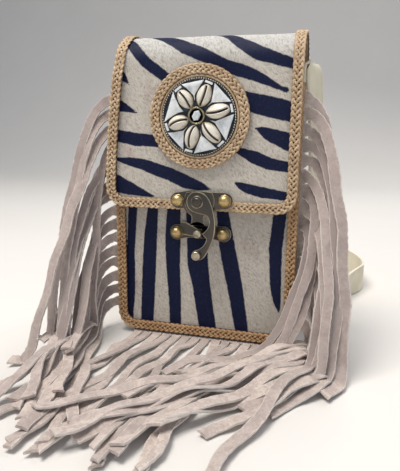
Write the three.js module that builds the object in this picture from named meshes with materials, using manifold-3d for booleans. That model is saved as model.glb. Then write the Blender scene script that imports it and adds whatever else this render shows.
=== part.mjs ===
// Fringed phone bag: a zebra-marked hide flap bag with a shell medallion, a swing-hook latch and a leather strap.
// Millimetres. +Z up, the front faces -Y, and the origin is the middle of the flat base.
import * as THREE from 'three';
import { mergeVertices } from 'three/addons/utils/BufferGeometryUtils.js';
import Module from 'manifold-3d';

const wasm = await Module();
wasm.setup();

// Driving dimensions
const GAP = 0.3; // clearance between touching pieces
const SLIVER = 0.35; // largest sliver that a join of strips may drop
const HIDE = 2.0; // thickness of the hide walls and the flap
const BODY = { halfWidth: 55.5, depth: 24, wall: 1.6, top: 172, corner: 12 };
const PANEL = { halfWidth: 57.5, base: 2.4, corner: 11 };
const FLAP = { halfWidth: 57, leftHem: 61.8, hem: 88, shoulder: 176, crown: 13.8, corner: 9, backHem: 140 };
const BRAID = { width: 8.0, thick: 3.6, pressed: 2.0, overhang: 1.8 };
const MEDALLION = { x: -1.7, z: 142.8, radius: 22.6, rim: 0.9, face: 1.8, ringOuter: 30.9, flowerX: -1.2, flowerY: 0.8 };
const LATCH = { x: -1.5, pivotZ: 92.7, postZ: 72.8, plate: 1.2, hook: 2.0 };
const STUD = { radius: 3.5, height: 4.2 };
const STRIP = { width: 7.0, thick: 1.4, bottomLength: 130, pitch: 9.0 };
const STRAP = { width: 22, thick: 2.0 };

// Planes worked out from them, as distances in front of the middle of the bag
const PANEL_BACK = BODY.depth / 2;
const PANEL_FRONT = PANEL_BACK + HIDE;
const BRAID_FRONT = PANEL_FRONT + GAP + BRAID.thick;
const FLAP_BACK = BRAID_FRONT + 0.5;
const FLAP_MID = FLAP_BACK + HIDE / 2;
const FLAP_FRONT = FLAP_BACK + HIDE;
const HASP_BACK = FLAP_FRONT + GAP + BRAID.pressed + GAP;
const HASP_FRONT = HASP_BACK + LATCH.plate;
const HOOK_BACK = HASP_FRONT + 0.4;
const CATCH_BACK = PANEL_FRONT + GAP;
const CATCH_FRONT = CATCH_BACK + LATCH.plate;

const finish = (color, roughness, metalness = 0) => new THREE.MeshStandardMaterial({ color, roughness, metalness });
const HIDE_FINISH = finish(0xb9b0a4, 0.8);
const BACK_FINISH = finish(0x3a2f2a, 0.7);
const SUEDE_FINISH = finish(0xb5a49c, 0.95);
const LACING_FINISH = finish(0xb98d57, 0.6);
const RESIN_FINISH = finish(0x14202c, 0.35);
const SHELL_FINISH = finish(0xd8cfc0, 0.3);
const BONE_FINISH = finish(0xe4e8ea, 0.35);
const BRASS_FINISH = finish(0x6b6250, 0.45, 0.9);
const NUT_FINISH = finish(0xb89a5e, 0.3, 0.95);
const STRAP_FINISH = finish(0xc2bd9c, 0.6);

const bag = new THREE.Group();

// Adds a named mesh to a group and returns it.
function addMesh(group, name, geometry, material) {
  const mesh = new THREE.Mesh(geometry, material);
  mesh.name = name;
  group.add(mesh);
  return mesh;
}

// A group whose local X and Y are the bag's X and Z, with local +Z towards the front, at a distance in front.
function facingGroup(distance, x = 0, z = 0) {
  const group = new THREE.Group();
  group.rotation.x = Math.PI / 2;
  group.position.set(x, -distance, z);
  bag.add(group);
  return group;
}

// Turns a table with named columns into a list of rows.
function tableRows(columns, table) {
  return table.map((row) => Object.fromEntries(columns.map((name, i) => [name, row[i]])));
}

const smoothstep = THREE.MathUtils.smoothstep;
const radians = THREE.MathUtils.degToRad;

// Solid from vertices and triangles, turned so that its faces point out.
function solidFrom(positions, triangles) {
  let volume = 0;
  const corner = (i) => new THREE.Vector3().fromArray(positions, 3 * i);
  for (let i = 0; i < triangles.length; i += 3) {
    const [a, b, c] = [corner(triangles[i]), corner(triangles[i + 1]), corner(triangles[i + 2])];
    volume += a.dot(b.cross(c));
  }
  const outward = volume > 0 ? triangles : triangles.slice().reverse();
  const geometry = new THREE.BufferGeometry();
  geometry.setAttribute('position', new THREE.Float32BufferAttribute(positions, 3));
  geometry.setIndex(outward);
  geometry.computeVertexNormals();
  return geometry;
}

// Carries a section along stations. Each station has a centre, a width direction and a thickness direction,
// and its half sizes; the section is a ring of (width, thickness) pairs from -1 to 1.
function sweep(stations, section, closed = false) {
  const positions = [];
  const triangles = [];
  const sides = section.length;
  for (const s of stations) {
    for (const [a, b] of section) {
      const p = s.centre.clone().addScaledVector(s.across, a * s.halfWidth).addScaledVector(s.up, b * s.halfThick);
      positions.push(p.x, p.y, p.z);
    }
  }
  const spans = closed ? stations.length : stations.length - 1;
  for (let i = 0; i < spans; i += 1) {
    const near = i * sides;
    const far = ((i + 1) % stations.length) * sides;
    for (let j = 0; j < sides; j += 1) {
      const k = (j + 1) % sides;
      triangles.push(near + j, near + k, far + k, near + j, far + k, far + j);
    }
  }
  if (!closed) {
    const last = (stations.length - 1) * sides;
    for (let j = 1; j < sides - 1; j += 1) {
      triangles.push(0, j + 1, j, last, last + j, last + j + 1);
    }
  }
  return solidFrom(positions, triangles);
}

const FLAT_SECTION = [[-1, -1], [1, -1], [1, 1], [-1, 1]];
const BRAID_SECTION = [[-0.8, -1], [0.8, -1], [1, -0.1], [0.55, 1], [-0.55, 1], [-1, -0.1]];

// Boolean joins and cuts of closed geometries.
function toManifold(geometry) {
  const bare = geometry.clone();
  bare.deleteAttribute('normal');
  bare.deleteAttribute('uv');
  const merged = mergeVertices(bare, 1e-5);
  const vertProperties = new Float32Array(merged.attributes.position.array);
  const triVerts = new Uint32Array(merged.index.array);
  return new wasm.Manifold(new wasm.Mesh({ numProp: 3, vertProperties, triVerts }));
}

function fromManifold(solid) {
  const mesh = solid.getMesh();
  const geometry = new THREE.BufferGeometry();
  geometry.setAttribute('position', new THREE.BufferAttribute(new Float32Array(mesh.vertProperties), 3));
  geometry.setIndex(Array.from(mesh.triVerts));
  geometry.computeVertexNormals();
  return geometry;
}

const join = (...geometries) => geometries.map(toManifold).reduce((a, b) => a.add(b));
const fuse = (...geometries) => fromManifold(join(...geometries));
// A join of many strips, without the slivers and the closed pockets that their crossings leave. A pocket's faces
// point into it, so its volume is negative.
function fuseStrips(...geometries) {
  const shells = join(...geometries).simplify(SLIVER).decompose();
  return fromManifold(shells.filter((shell) => shell.volume() > 0).reduce((a, b) => a.add(b)));
}
const cut = (body, tool) => fromManifold(toManifold(body).subtract(toManifold(tool)));

const plate = (shape, depth, curveSegments = 5) =>
  new THREE.ExtrudeGeometry(shape, { depth, bevelEnabled: false, curveSegments });

// A turned piece whose axis is local +Z, from (radius, height) pairs.
function turned(profile, segments) {
  const points = profile.map(([r, h]) => new THREE.Vector2(r, h));
  return new THREE.LatheGeometry(points, segments).rotateX(Math.PI / 2);
}

// U outline, open at the top: straight sides, round lower corners and a flat base.
function traceU(shape, halfWidth, base, top, corner) {
  shape.moveTo(-halfWidth, top);
  shape.lineTo(-halfWidth, base + corner);
  shape.absarc(-halfWidth + corner, base + corner, corner, Math.PI, 1.5 * Math.PI, false);
  shape.lineTo(halfWidth - corner, base);
  shape.absarc(halfWidth - corner, base + corner, corner, 1.5 * Math.PI, 2 * Math.PI, false);
  shape.lineTo(halfWidth, top);
  return shape;
}

// Body: front wall, back wall and the band that joins them
function buildBody() {
  const front = traceU(new THREE.Shape(), PANEL.halfWidth, PANEL.base, BODY.top, PANEL.corner);
  addMesh(facingGroup(PANEL_BACK), 'front_panel', plate(front, HIDE), HIDE_FINISH);

  const back = traceU(new THREE.Shape(), BODY.halfWidth, GAP, BODY.top, BODY.corner);
  addMesh(facingGroup(-PANEL_FRONT), 'back_panel', plate(back, HIDE), BACK_FINISH);

  const band = traceU(new THREE.Shape(), BODY.halfWidth, 0, BODY.top, BODY.corner);
  const inside = new THREE.Shape();
  traceU(inside, BODY.halfWidth - BODY.wall, BODY.wall, BODY.top, BODY.corner - BODY.wall);
  inside.getPoints(8).reverse().forEach((p) => band.lineTo(p.x, p.y));
  const depth = BODY.depth - 2 * GAP;
  addMesh(facingGroup(-depth / 2), 'gusset', plate(band, depth), SUEDE_FINISH);
}

// Flap: its line runs up the front from the hem, over the crown and down the outside of the back.
const CROWN_MID = (FLAP_MID - (PANEL_FRONT + GAP + HIDE / 2)) / 2;
const CROWN_REACH = FLAP_MID - CROWN_MID;
const FRONT_RUN = FLAP.shoulder - FLAP.hem;
const CROWN_STEPS = 10;
const CROWN_LINE = new THREE.EllipseCurve(-CROWN_MID, FLAP.shoulder, CROWN_REACH, FLAP.crown, Math.PI, 0, true);
const CROWN_RUN = CROWN_LINE.getLength();
const BACK_RUN = FLAP.shoulder - FLAP.backHem;
const FLAP_RUN = FRONT_RUN + CROWN_RUN + BACK_RUN;

// Place and outward direction on the flap's middle surface, at a run from the hem.
function flapLine(run) {
  if (run <= FRONT_RUN) {
    return { y: -FLAP_MID, z: FLAP.hem + run, ny: -1, nz: 0 };
  }
  if (run >= FRONT_RUN + CROWN_RUN) {
    const y = -CROWN_MID + CROWN_REACH;
    return { y, z: FLAP.shoulder - (run - FRONT_RUN - CROWN_RUN), ny: 1, nz: 0 };
  }
  const u = (run - FRONT_RUN) / CROWN_RUN;
  const p = CROWN_LINE.getPointAt(u);
  const t = CROWN_LINE.getTangentAt(u);
  return { y: p.x, z: p.y, ny: -t.y, nz: t.x };
}

// The flap's left edge leans in towards the crown. Gives the X of a place on the flap, from its X on a flap with
// upright edges.
function leanIn(x, run) {
  const up = Math.min(run, FRONT_RUN + CROWN_RUN / 4);
  const left = FLAP.leftHem - 0.02 * up - 0.0008 * up * up;
  return x < 0 ? (x * left) / FLAP.halfWidth : x;
}

function flapStation(x, run, lift, halfWidth, halfThick) {
  const l = flapLine(run);
  return {
    centre: new THREE.Vector3(x, l.y + l.ny * lift, l.z + l.nz * lift),
    up: new THREE.Vector3(0, l.ny, l.nz),
    across: new THREE.Vector3(1, 0, 0),
    halfWidth,
    halfThick,
  };
}

// Runs at which the crown is divided
const crownRuns = () => Array.from({ length: CROWN_STEPS + 1 }, (_, i) => FRONT_RUN + (CROWN_RUN * i) / CROWN_STEPS);

function buildFlap() {
  const cornerSteps = 6;
  const stations = [];
  const addStation = (run, halfWidth) => {
    const left = leanIn(-halfWidth, run);
    stations.push(flapStation((halfWidth + left) / 2, run, 0, (halfWidth - left) / 2, HIDE / 2));
  };
  for (let i = 0; i <= cornerSteps; i += 1) {
    const angle = (Math.PI / 2) * (i / cornerSteps);
    const run = FLAP.corner * (1 - Math.cos(angle));
    const inset = FLAP.corner * (1 - Math.sin(angle));
    addStation(run, FLAP.halfWidth - inset);
  }
  for (const run of [FRONT_RUN / 2, ...crownRuns(), FLAP_RUN]) addStation(run, FLAP.halfWidth);
  addMesh(bag, 'flap', sweep(stations, FLAT_SECTION), HIDE_FINISH);
}

// Lacing along a line of (x, run) places on a surface. place(x, run, thick) gives the middle of the lacing and the
// outward direction there.
function lacingStations(line, place) {
  return line.map((p, i) => {
    const before = line[Math.max(i - 1, 0)];
    const after = line[Math.min(i + 1, line.length - 1)];
    const here = place(p.x, p.run, p.thick ?? BRAID.thick);
    const travel = place(after.x, after.run, 0).centre.clone().sub(place(before.x, before.run, 0).centre);
    const across = new THREE.Vector3().crossVectors(here.up, travel).normalize();
    return { ...here, across, halfWidth: BRAID.width / 2, halfThick: (p.thick ?? BRAID.thick) / 2 };
  });
}

// U line of lacing, from the top of the left edge round the foot to the top of the right edge.
function lacingLine(halfWidth, foot, corner, tops, footStops) {
  const line = tops.map((run) => ({ x: -halfWidth, run })).reverse();
  const steps = 6;
  const turn = (side, i) => {
    const angle = (Math.PI / 2) * (i / steps);
    const x = side * (halfWidth - corner + corner * Math.cos(angle));
    return { x, run: foot + corner - corner * Math.sin(angle) };
  };
  for (let i = 0; i <= steps; i += 1) line.push(turn(-1, i));
  footStops.forEach((stop) => line.push({ x: stop.x, run: foot, thick: stop.thick }));
  for (let i = steps; i >= 0; i -= 1) line.push(turn(1, i));
  tops.forEach((run) => line.push({ x: halfWidth, run }));
  return line;
}

function buildLacing() {
  const inset = BRAID.width / 2 - BRAID.overhang;
  const onPanel = (x, z, thick) => ({
    centre: new THREE.Vector3(x, -(PANEL_FRONT + GAP + thick / 2), z),
    up: new THREE.Vector3(0, -1, 0),
  });
  const panelTops = [PANEL.base + 40, PANEL.base + 90, BODY.top - 10];
  const panelFoot = [{ x: 0 }];
  const foot = PANEL.base + BRAID.width / 2;
  const panelLine = lacingLine(PANEL.halfWidth - inset, foot, PANEL.corner - inset, panelTops, panelFoot);
  addMesh(bag, 'front_braid', sweep(lacingStations(panelLine, onPanel), BRAID_SECTION), LACING_FINISH);

  const onFlap = (x, run, thick) => {
    const clear = run < FRONT_RUN ? GAP : GAP + 0.15;
    return flapStation(leanIn(x, run), run, HIDE / 2 + clear + thick / 2, 1, 1);
  };
  const flapTops = [FRONT_RUN / 2, FRONT_RUN - 8, ...crownRuns(), FLAP_RUN];
  // The lacing is pressed flat under the hasp plate.
  const pressedHalf = 25;
  const flapFoot = [-1, -0.86, 0.86, 1].map((k) => ({
    x: LATCH.x + 1.5 + k * pressedHalf,
    thick: Math.abs(k) < 1 ? BRAID.pressed : BRAID.thick,
  }));
  const flapEdge = lacingLine(FLAP.halfWidth - inset, inset, FLAP.corner - inset + 2, flapTops, flapFoot);
  // It is also pulled thin where it goes over the crown and down the back.
  flapEdge.forEach((p) => {
    if (p.run > FRONT_RUN - 1) p.thick = BRAID.pressed;
  });
  addMesh(bag, 'flap_braid', sweep(lacingStations(flapEdge, onFlap), BRAID_SECTION), LACING_FINISH);
}

// Medallion: shells, wedge tiles and bars set in a rimmed disc, with a lacing ring round it
const SHELL = { inner: 5.4, length: 12.8, width: 9.2, height: 4.6 };
const SHELL_ANGLES = [12, 69, 127, 200, 257, 313];
const INLAY_REACH = MEDALLION.radius - MEDALLION.rim - GAP - 0.1;
const CHIP = { long: 1.3, wide: 4.6, thick: 1.2 };

function shellGeometry() {
  const sides = 12;
  const rings = 3;
  const positions = [];
  const triangles = [];
  for (let k = 0; k < rings; k += 1) {
    const swell = Math.cos((Math.PI / 2) * (k / rings));
    const height = SHELL.height * Math.sin((Math.PI / 2) * (k / rings));
    for (let j = 0; j < sides; j += 1) {
      const a = (2 * Math.PI * j) / sides;
      const x = SHELL.inner + (SHELL.length / 2) * (1 + swell * Math.cos(a));
      const y = (SHELL.width / 2) * swell * Math.sin(a) * (1 + 0.12 * Math.cos(a));
      positions.push(x, y, height);
    }
  }
  const apex = rings * sides;
  const base = apex + 1;
  const middle = SHELL.inner + SHELL.length / 2;
  positions.push(middle, 0, SHELL.height, middle, 0, 0);
  for (let j = 0; j < sides; j += 1) {
    const k = (j + 1) % sides;
    for (let i = 0; i < rings - 1; i += 1) {
      const [near, far] = [i * sides, (i + 1) * sides];
      triangles.push(near + j, near + k, far + k, near + j, far + k, far + j);
    }
    triangles.push((rings - 1) * sides + j, (rings - 1) * sides + k, apex, base, k, j);
  }
  const body = solidFrom(positions, triangles);

  const slit = new THREE.Shape();
  const start = SHELL.inner + 1.2;
  const end = SHELL.inner + SHELL.length - 1.6;
  const half = 0.45;
  slit.moveTo(start, -half);
  slit.quadraticCurveTo(middle, -half - 1.4, end, -half + 0.4);
  slit.lineTo(end, half + 0.4);
  slit.quadraticCurveTo(middle, half - 1.4, start, half);
  const groove = plate(slit, SHELL.height, 4).translate(0, 0, SHELL.height * 0.62);
  return cut(body, groove);
}

// Distance from the flower's middle to a circle round the disc's middle, in a direction.
function reachTo(radius, angle) {
  const { flowerX, flowerY } = MEDALLION;
  const along = flowerX * Math.cos(angle) + flowerY * Math.sin(angle);
  return -along + Math.sqrt(along * along - flowerX * flowerX - flowerY * flowerY + radius * radius);
}

// Wedge tile between two shells, whose sides go round the shells and whose outer edge follows the rim.
function tileShape(from, to) {
  const tile = { inner: 8.6, clear: radians(9.5), space: 0.9, steps: 4 };
  const middle = (from + to) / 2;
  const shape = new THREE.Shape();
  shape.moveTo(tile.inner * Math.cos(middle), tile.inner * Math.sin(middle));
  // Point beside a shell, at an angle round the shell's own middle
  const beside = (axis, side, round) => {
    const along = SHELL.inner + SHELL.length / 2 + (SHELL.length / 2 + tile.space) * Math.cos(round);
    const out = side * (SHELL.width / 2 + tile.space) * Math.sin(round);
    shape.lineTo(along * Math.cos(axis) - out * Math.sin(axis), along * Math.sin(axis) + out * Math.cos(axis));
  };
  const turns = [1.75, 0.95];
  turns.forEach((round) => beside(from, 1, round));
  for (let i = 0; i <= tile.steps; i += 1) {
    const angle = from + tile.clear + ((to - from - 2 * tile.clear) * i) / tile.steps;
    const reach = reachTo(INLAY_REACH, angle);
    shape.lineTo(reach * Math.cos(angle), reach * Math.sin(angle));
  }
  turns.reverse().forEach((round) => beside(to, -1, round));
  return shape;
}

function buildMedallion() {
  const medallion = facingGroup(FLAP_FRONT + GAP, MEDALLION.x, MEDALLION.z);
  const r = MEDALLION.radius;
  const { face, rim } = MEDALLION;
  const disc = [[0, 0], [r, 0], [r, face + 0.8], [r - rim, face + 0.8], [r - rim, face], [0, face]];
  addMesh(medallion, 'medallion_disc', turned(disc, 30), RESIN_FINISH);

  const lacing = [];
  const ringWidth = MEDALLION.ringOuter - r - GAP;
  const ringSteps = 30;
  for (let i = 0; i < ringSteps; i += 1) {
    const a = (2 * Math.PI * (i + 0.5)) / ringSteps;
    const outward = new THREE.Vector3(Math.cos(a), Math.sin(a), 0);
    lacing.push({
      centre: outward.clone().multiplyScalar(r + GAP + ringWidth / 2).setZ(BRAID.thick / 2),
      across: outward,
      up: new THREE.Vector3(0, 0, 1),
      halfWidth: ringWidth / 2,
      halfThick: BRAID.thick / 2,
    });
  }
  addMesh(medallion, 'medallion_braid', sweep(lacing, BRAID_SECTION, true), LACING_FINISH);

  const flower = new THREE.Group();
  flower.position.set(MEDALLION.flowerX, MEDALLION.flowerY, face + GAP);
  medallion.add(flower);
  const shell = shellGeometry();
  const bar = new THREE.BoxGeometry(CHIP.long, CHIP.wide, CHIP.thick).translate(-CHIP.long / 2, 0, CHIP.thick / 2);
  SHELL_ANGLES.forEach((degrees, i) => {
    const angle = radians(degrees);
    const next = radians(SHELL_ANGLES[i + 1] ?? SHELL_ANGLES[0] + 360);
    addMesh(flower, `cowrie_${i + 1}`, shell, SHELL_FINISH).rotation.z = angle;
    addMesh(flower, `tile_${i + 1}`, plate(tileShape(angle, next), CHIP.thick), BONE_FINISH);
    const chip = addMesh(flower, `chip_${i + 1}`, bar, BONE_FINISH);
    const reach = reachTo(INLAY_REACH, angle) - 0.2;
    chip.position.set(reach * Math.cos(angle), reach * Math.sin(angle), 0);
    chip.rotation.z = angle;
  });
  const ring = [[3.5, 0], [5.2, 0], [5.2, 1.6], [4.7, 2.3], [4.0, 2.3], [3.5, 1.6], [3.5, 0]];
  addMesh(flower, 'centre_ring', turned(ring, 16), BRASS_FINISH);
  const stone = [[0, 0], [2.2, 0], [3.15, 1.0], [3.15, 1.3], [1.9, 2.4], [0, 2.4]];
  addMesh(flower, 'centre_stone', turned(stone, 8), BONE_FINISH);
}

// Latch: hasp plate on the flap, catch plate with its post on the front wall, and the swinging hook
function domedNut(name, group, x, z) {
  const { radius: r, height: h } = STUD;
  const profile = [[0, 0], [r, 0], [r, 1.0], [r * 0.9, 1.4], [r * 0.86, 2.2], [r * 0.66, 3.4], [r * 0.3, h], [0, h]];
  addMesh(group, name, turned(profile, 10), NUT_FINISH).position.set(x, z, GAP);
}

function haspShape() {
  const ear = 5.4;
  const [left, right] = [{ x: -14.2, z: 93.0 }, { x: 15.2, z: 93.8 }];
  const neck = { half: 3.4, z: 82 };
  const flare = { half: 5.2, z: 77.6 };
  const shape = new THREE.Shape();
  shape.moveTo(left.x, left.z - ear);
  shape.absarc(left.x, left.z, ear, -Math.PI / 2, -1.5 * Math.PI, true);
  shape.lineTo(LATCH.x - 4, LATCH.pivotZ + 7);
  shape.lineTo(right.x - 6, right.z + ear);
  shape.lineTo(right.x, right.z + ear);
  shape.absarc(right.x, right.z, ear, Math.PI / 2, -Math.PI / 2, true);
  shape.lineTo(LATCH.x + 11, LATCH.pivotZ - 4.6);
  shape.quadraticCurveTo(LATCH.x + 8, LATCH.pivotZ - 6.6, LATCH.x + neck.half + 1, neck.z + 2);
  shape.quadraticCurveTo(LATCH.x + neck.half, neck.z - 2, LATCH.x + flare.half, flare.z);
  shape.quadraticCurveTo(LATCH.x, flare.z + 3.4, LATCH.x - flare.half, flare.z);
  shape.quadraticCurveTo(LATCH.x - neck.half, neck.z - 2, LATCH.x - neck.half - 1, neck.z + 2);
  shape.quadraticCurveTo(LATCH.x - 8, LATCH.pivotZ - 6.6, LATCH.x - 9, LATCH.pivotZ - 4.6);
  shape.lineTo(left.x, left.z - ear);
  return shape;
}

// Bone-shaped plate: an ear at each nut, joined by a bar that carries the post
function catchShape() {
  const ear = 5.2;
  const [left, right] = [{ x: -17.2, z: 71.2 }, { x: 12.8, z: 71.6 }];
  const shape = new THREE.Shape();
  shape.moveTo(left.x, left.z - ear);
  shape.absarc(left.x, left.z, ear, -Math.PI / 2, -1.5 * Math.PI, true);
  shape.quadraticCurveTo(-12, 76.2, -8, 76.4);
  shape.lineTo(4.5, 76.4);
  shape.quadraticCurveTo(8, 76.4, right.x, right.z + ear);
  shape.absarc(right.x, right.z, ear, Math.PI / 2, -Math.PI / 2, true);
  shape.quadraticCurveTo(8, 67.8, 4.5, 68.2);
  shape.lineTo(-8, 68.2);
  shape.quadraticCurveTo(-12, 68, left.x, left.z - ear);
  return shape;
}

// Crescent hook, drawn from its pivot: round head, bowed back, a spur towards the post and a tail under it.
function hookShape() {
  const head = 6.6;
  const shape = new THREE.Shape();
  shape.moveTo(-1.5, -6.4);
  shape.absarc(0, 0, head, -1.8, -3 * Math.PI / 2, true);
  shape.quadraticCurveTo(8.6, 6.2, 11.2, -6.0);
  shape.quadraticCurveTo(14.4, -19.0, 6.4, -31.6);
  shape.quadraticCurveTo(4.4, -36.4, 0.4, -36.2);
  shape.absarc(0.2, -33.0, 3.2, -Math.PI / 2, -1.45 * Math.PI, true);
  shape.quadraticCurveTo(5.2, -27.6, 6.2, -22.4);
  shape.lineTo(3.1, -19.2);
  shape.quadraticCurveTo(7.0, -17.4, 7.8, -12.0);
  shape.quadraticCurveTo(7.4, -8.2, 4.6, -7.6);
  shape.quadraticCurveTo(1.6, -7.2, -1.5, -6.4);
  const eye = new THREE.Path();
  eye.absarc(0, 0, 1.5, 0, 2 * Math.PI, false);
  shape.holes.push(eye);
  return shape;
}

function buildLatch() {
  const hasp = facingGroup(HASP_BACK);
  addMesh(hasp, 'hasp_plate', plate(haspShape(), LATCH.plate), BRASS_FINISH);
  const haspNuts = facingGroup(HASP_FRONT);
  domedNut('stud_1', haspNuts, -14.2, 93.0);
  domedNut('stud_2', haspNuts, 15.2, 93.8);

  const post = [[0, 0.2], [2.0, 0.2], [2.0, 9.6], [2.4, 10.0], [2.4, 12.2], [2.0, 12.8], [0, 12.8]];
  const postBody = turned(post, 10).translate(LATCH.x + 0.3, LATCH.postZ, 0);
  const catchGroup = facingGroup(CATCH_BACK);
  addMesh(catchGroup, 'catch_plate', fuse(plate(catchShape(), LATCH.plate), postBody), BRASS_FINISH);
  const catchNuts = facingGroup(CATCH_FRONT);
  domedNut('stud_3', catchNuts, -17.2, 71.2);
  domedNut('stud_4', catchNuts, 12.8, 71.6);

  const pivot = facingGroup(HOOK_BACK, LATCH.x, LATCH.pivotZ);
  const knob = [[0, 1.0], [2.0, 1.0], [2.0, 2.6], [2.8, 3.0], [2.8, 4.2], [2.3, 4.8], [0, 4.8]];
  const knobBody = turned(knob, 10).translate(0.2, -33.0, 0);
  addMesh(pivot, 'swing_hook', fuse(plate(hookShape(), LATCH.hook), knobBody), BRASS_FINISH);

  const shank = HOOK_BACK - HASP_FRONT - GAP;
  const top = LATCH.hook + GAP;
  const rivet = [[0, -shank], [1.1, -shank], [1.1, top], [2.6, top], [2.2, top + 0.8], [0, top + 0.8]];
  addMesh(pivot, 'hook_pivot', turned(rivet, 10), BRASS_FINISH);
}

// Fringe. Each side strip leaves the front seam, arches out and falls to a landing, then runs on over the ground.
// throw: how far the arch is thrown out; landX, landY: where it meets the ground; heading: its direction there,
// in degrees from +X; bend: how far it turns on the way to its tip; length: how long it is. The rows go from the top
// of the seam down.
const SIDE_COLUMNS = ['throw', 'landX', 'landY', 'heading', 'bend', 'length'];
const LEFT_STRIPS = tableRows(SIDE_COLUMNS, [
  [18, -88, -66, -94, 8, 184],
  [17, -90, -71, -98, 0, 178],
  [11, -93, -76, -112, 0, 172],
  [18, -86, -70, -84, 8, 182],
  [14, -75, -78, -70, -14, 172],
  [15, -70, -66, -64, -6, 152],
  [16, -85, -62, -116, -6, 180],
  [14, -72, -74, -80, 8, 176],
  [16, -74, -54, -118, -8, 172],
  [15, -71, -58, -82, -8, 162],
  [16, -69, -60, -72, 8, 150],
  [15, -73, -44, -90, 14, 158],
  [16, -69, -46, -78, -6, 164],
  [15, -71, -36, -83, 12, 152],
  [15, -69, -34, -76, -6, 160],
  [13, -68, -31, -73, 6, 148],
]);
const RIGHT_STRIPS = tableRows(SIDE_COLUMNS, [
  [10, 88, -42, -88, 0, 172],
  [12, 87, -52, -104, -8, 184],
  [11, 82, -56, -118, -14, 200],
  [12, 80, -52, -126, -8, 204],
  [10, 70, -50, -136, 10, 196],
  [11, 76, -60, -122, -12, 206],
  [14, 44, -44, -142, 4, 172],
  [10, 74, -56, -132, -6, 200],
  [14, 38, -39, -146, 6, 156],
  [10, 72, -50, -134, 10, 196],
  [14, 50, -44, -138, 0, 176],
  [10, 70, -56, -116, 14, 190],
  [10, 68, -48, -138, 6, 200],
  [10, 69, -40, -130, -10, 196],
  [10, 68, -36, -136, 8, 200],
  [10, 67, -30, -138, -6, 190],
]);
const BOTTOM_STRIPS = tableRows(['heading', 'bend'], [
  [-97, 8], [-104, -6], [-99, 10], [-106, 8], [-102, 8], [-95, 10], [-108, 8],
  [-100, 8], [-86, -10], [-106, 10], [-111, 8], [-103, 8], [-113, 8], [-108, -8],
]);
const SEAM = { y: -(PANEL_BACK - 0.7 - STRIP.thick / 2), top: 154, x: 58.5 };
const HEADER = { inner: BODY.halfWidth + GAP, outer: 59.4, thick: 1.4, footFront: 17.4 };

const FINE = 2; // spacing of the working points along a strip
const STATION = 28; // spacing of the stations that its solid keeps
const PRESSED = 0.8; // rise of a strip over another of its own piece, which it is pressed on to

// Heights of what already lies on the ground, on a square grid. A strip lies clear of the strips of another piece,
// and pressed on to those of its own.
class Ground {
  constructor() {
    this.cell = 1.5;
    this.others = new Map();
    this.own = new Map();
  }

  // Calls visit(key) for the cells over the width of a strip at a point.
  cover(point, across, half, visit) {
    const steps = Math.ceil((2 * half) / this.cell);
    for (let i = 0; i <= steps; i += 1) {
      const k = -half + (2 * half * i) / steps;
      const column = Math.round((point.x + across.x * k) / this.cell);
      visit(`${column},${Math.round((point.y + across.y * k) / this.cell)}`);
    }
  }

  // Lowest that the middle of a strip may lie at a point, over the strips of one of the two layers.
  seat(layer, rise, point, across, half) {
    let lowest = STRIP.thick / 2;
    this.cover(point, across, half, (key) => {
      if (layer.has(key)) lowest = Math.max(lowest, layer.get(key) + rise);
    });
    return lowest;
  }

  lay(point, across, half) {
    this.cover(point, across, half, (key) => {
      this.own.set(key, Math.max(this.own.get(key) ?? 0, point.z));
    });
  }

  // Starts another piece on top of what lies there.
  nextPiece() {
    this.own.forEach((height, key) => {
      this.others.set(key, Math.max(this.others.get(key) ?? 0, height));
    });
    this.own.clear();
  }
}

// Sliding maximum or mean over a window of points either side.
function slide(values, window, take) {
  return values.map((_, i) => take(values.slice(Math.max(0, i - window), i + window + 1)));
}
const most = (list) => Math.max(...list);
const mean = (list) => list.reduce((a, b) => a + b, 0) / list.length;

// Points along a run over the ground that turns steadily.
function groundRun(start, heading, bend, length) {
  const points = [start.clone()];
  const steps = Math.max(2, Math.round(length / FINE));
  for (let i = 0; i < steps; i += 1) {
    const angle = radians(heading + (bend * (i + 0.5)) / steps);
    const step = length / steps;
    const last = points[points.length - 1];
    points.push(new THREE.Vector3(last.x + step * Math.cos(angle), last.y + step * Math.sin(angle), start.z));
  }
  return points;
}

// Rounds a line of points off, with its ends kept.
function soften(points, window) {
  return points.map((_, i) => {
    const reach = Math.min(window, i, points.length - 1 - i);
    const near = points.slice(i - reach, i + reach + 1);
    return near.reduce((sum, p) => sum.add(p), new THREE.Vector3()).divideScalar(near.length);
  });
}

function sidePath(side, row, rootZ) {
  const half = STRIP.thick / 2;
  const root = new THREE.Vector3(side * SEAM.x, SEAM.y, rootZ);
  const land = new THREE.Vector3(row.landX, row.landY, half);
  const heading = radians(row.heading);
  // A strip that sweeps across in front of the bag comes down slowly, the others drop.
  const sweeps = Math.abs(row.landX) < BODY.halfWidth;
  const approach = Math.min(sweeps ? 36 : 15, 0.35 * rootZ);
  const rise = (sweeps ? 0.3 : 0.4) * rootZ;
  const forward = (sweeps ? 0.6 : 0.2) * row.throw;
  const out = new THREE.Vector3(side * 1.45 * row.throw, -forward, 0.16 * row.throw).add(root);
  const over = new THREE.Vector3(-Math.cos(heading) * approach, -Math.sin(heading) * approach, rise).add(land);
  const fall = new THREE.CubicBezierCurve3(root, out, over, land);
  const hanging = fall.getLength();
  const points = fall.getSpacedPoints(Math.round(hanging / FINE));
  const rest = Math.max(10, row.length - hanging);
  points.push(...groundRun(land, row.heading, row.bend, rest).slice(1));
  return soften(points, 6);
}

function bottomPath(row, rootX) {
  const root = new THREE.Vector3(rootX, -HEADER.footFront + 1.2, STRIP.thick / 2);
  const straight = new THREE.Vector3(rootX, -HEADER.footFront - 6, STRIP.thick / 2);
  const run = groundRun(straight, row.heading, row.bend, STRIP.bottomLength);
  return soften([root, ...run], 5);
}

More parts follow.
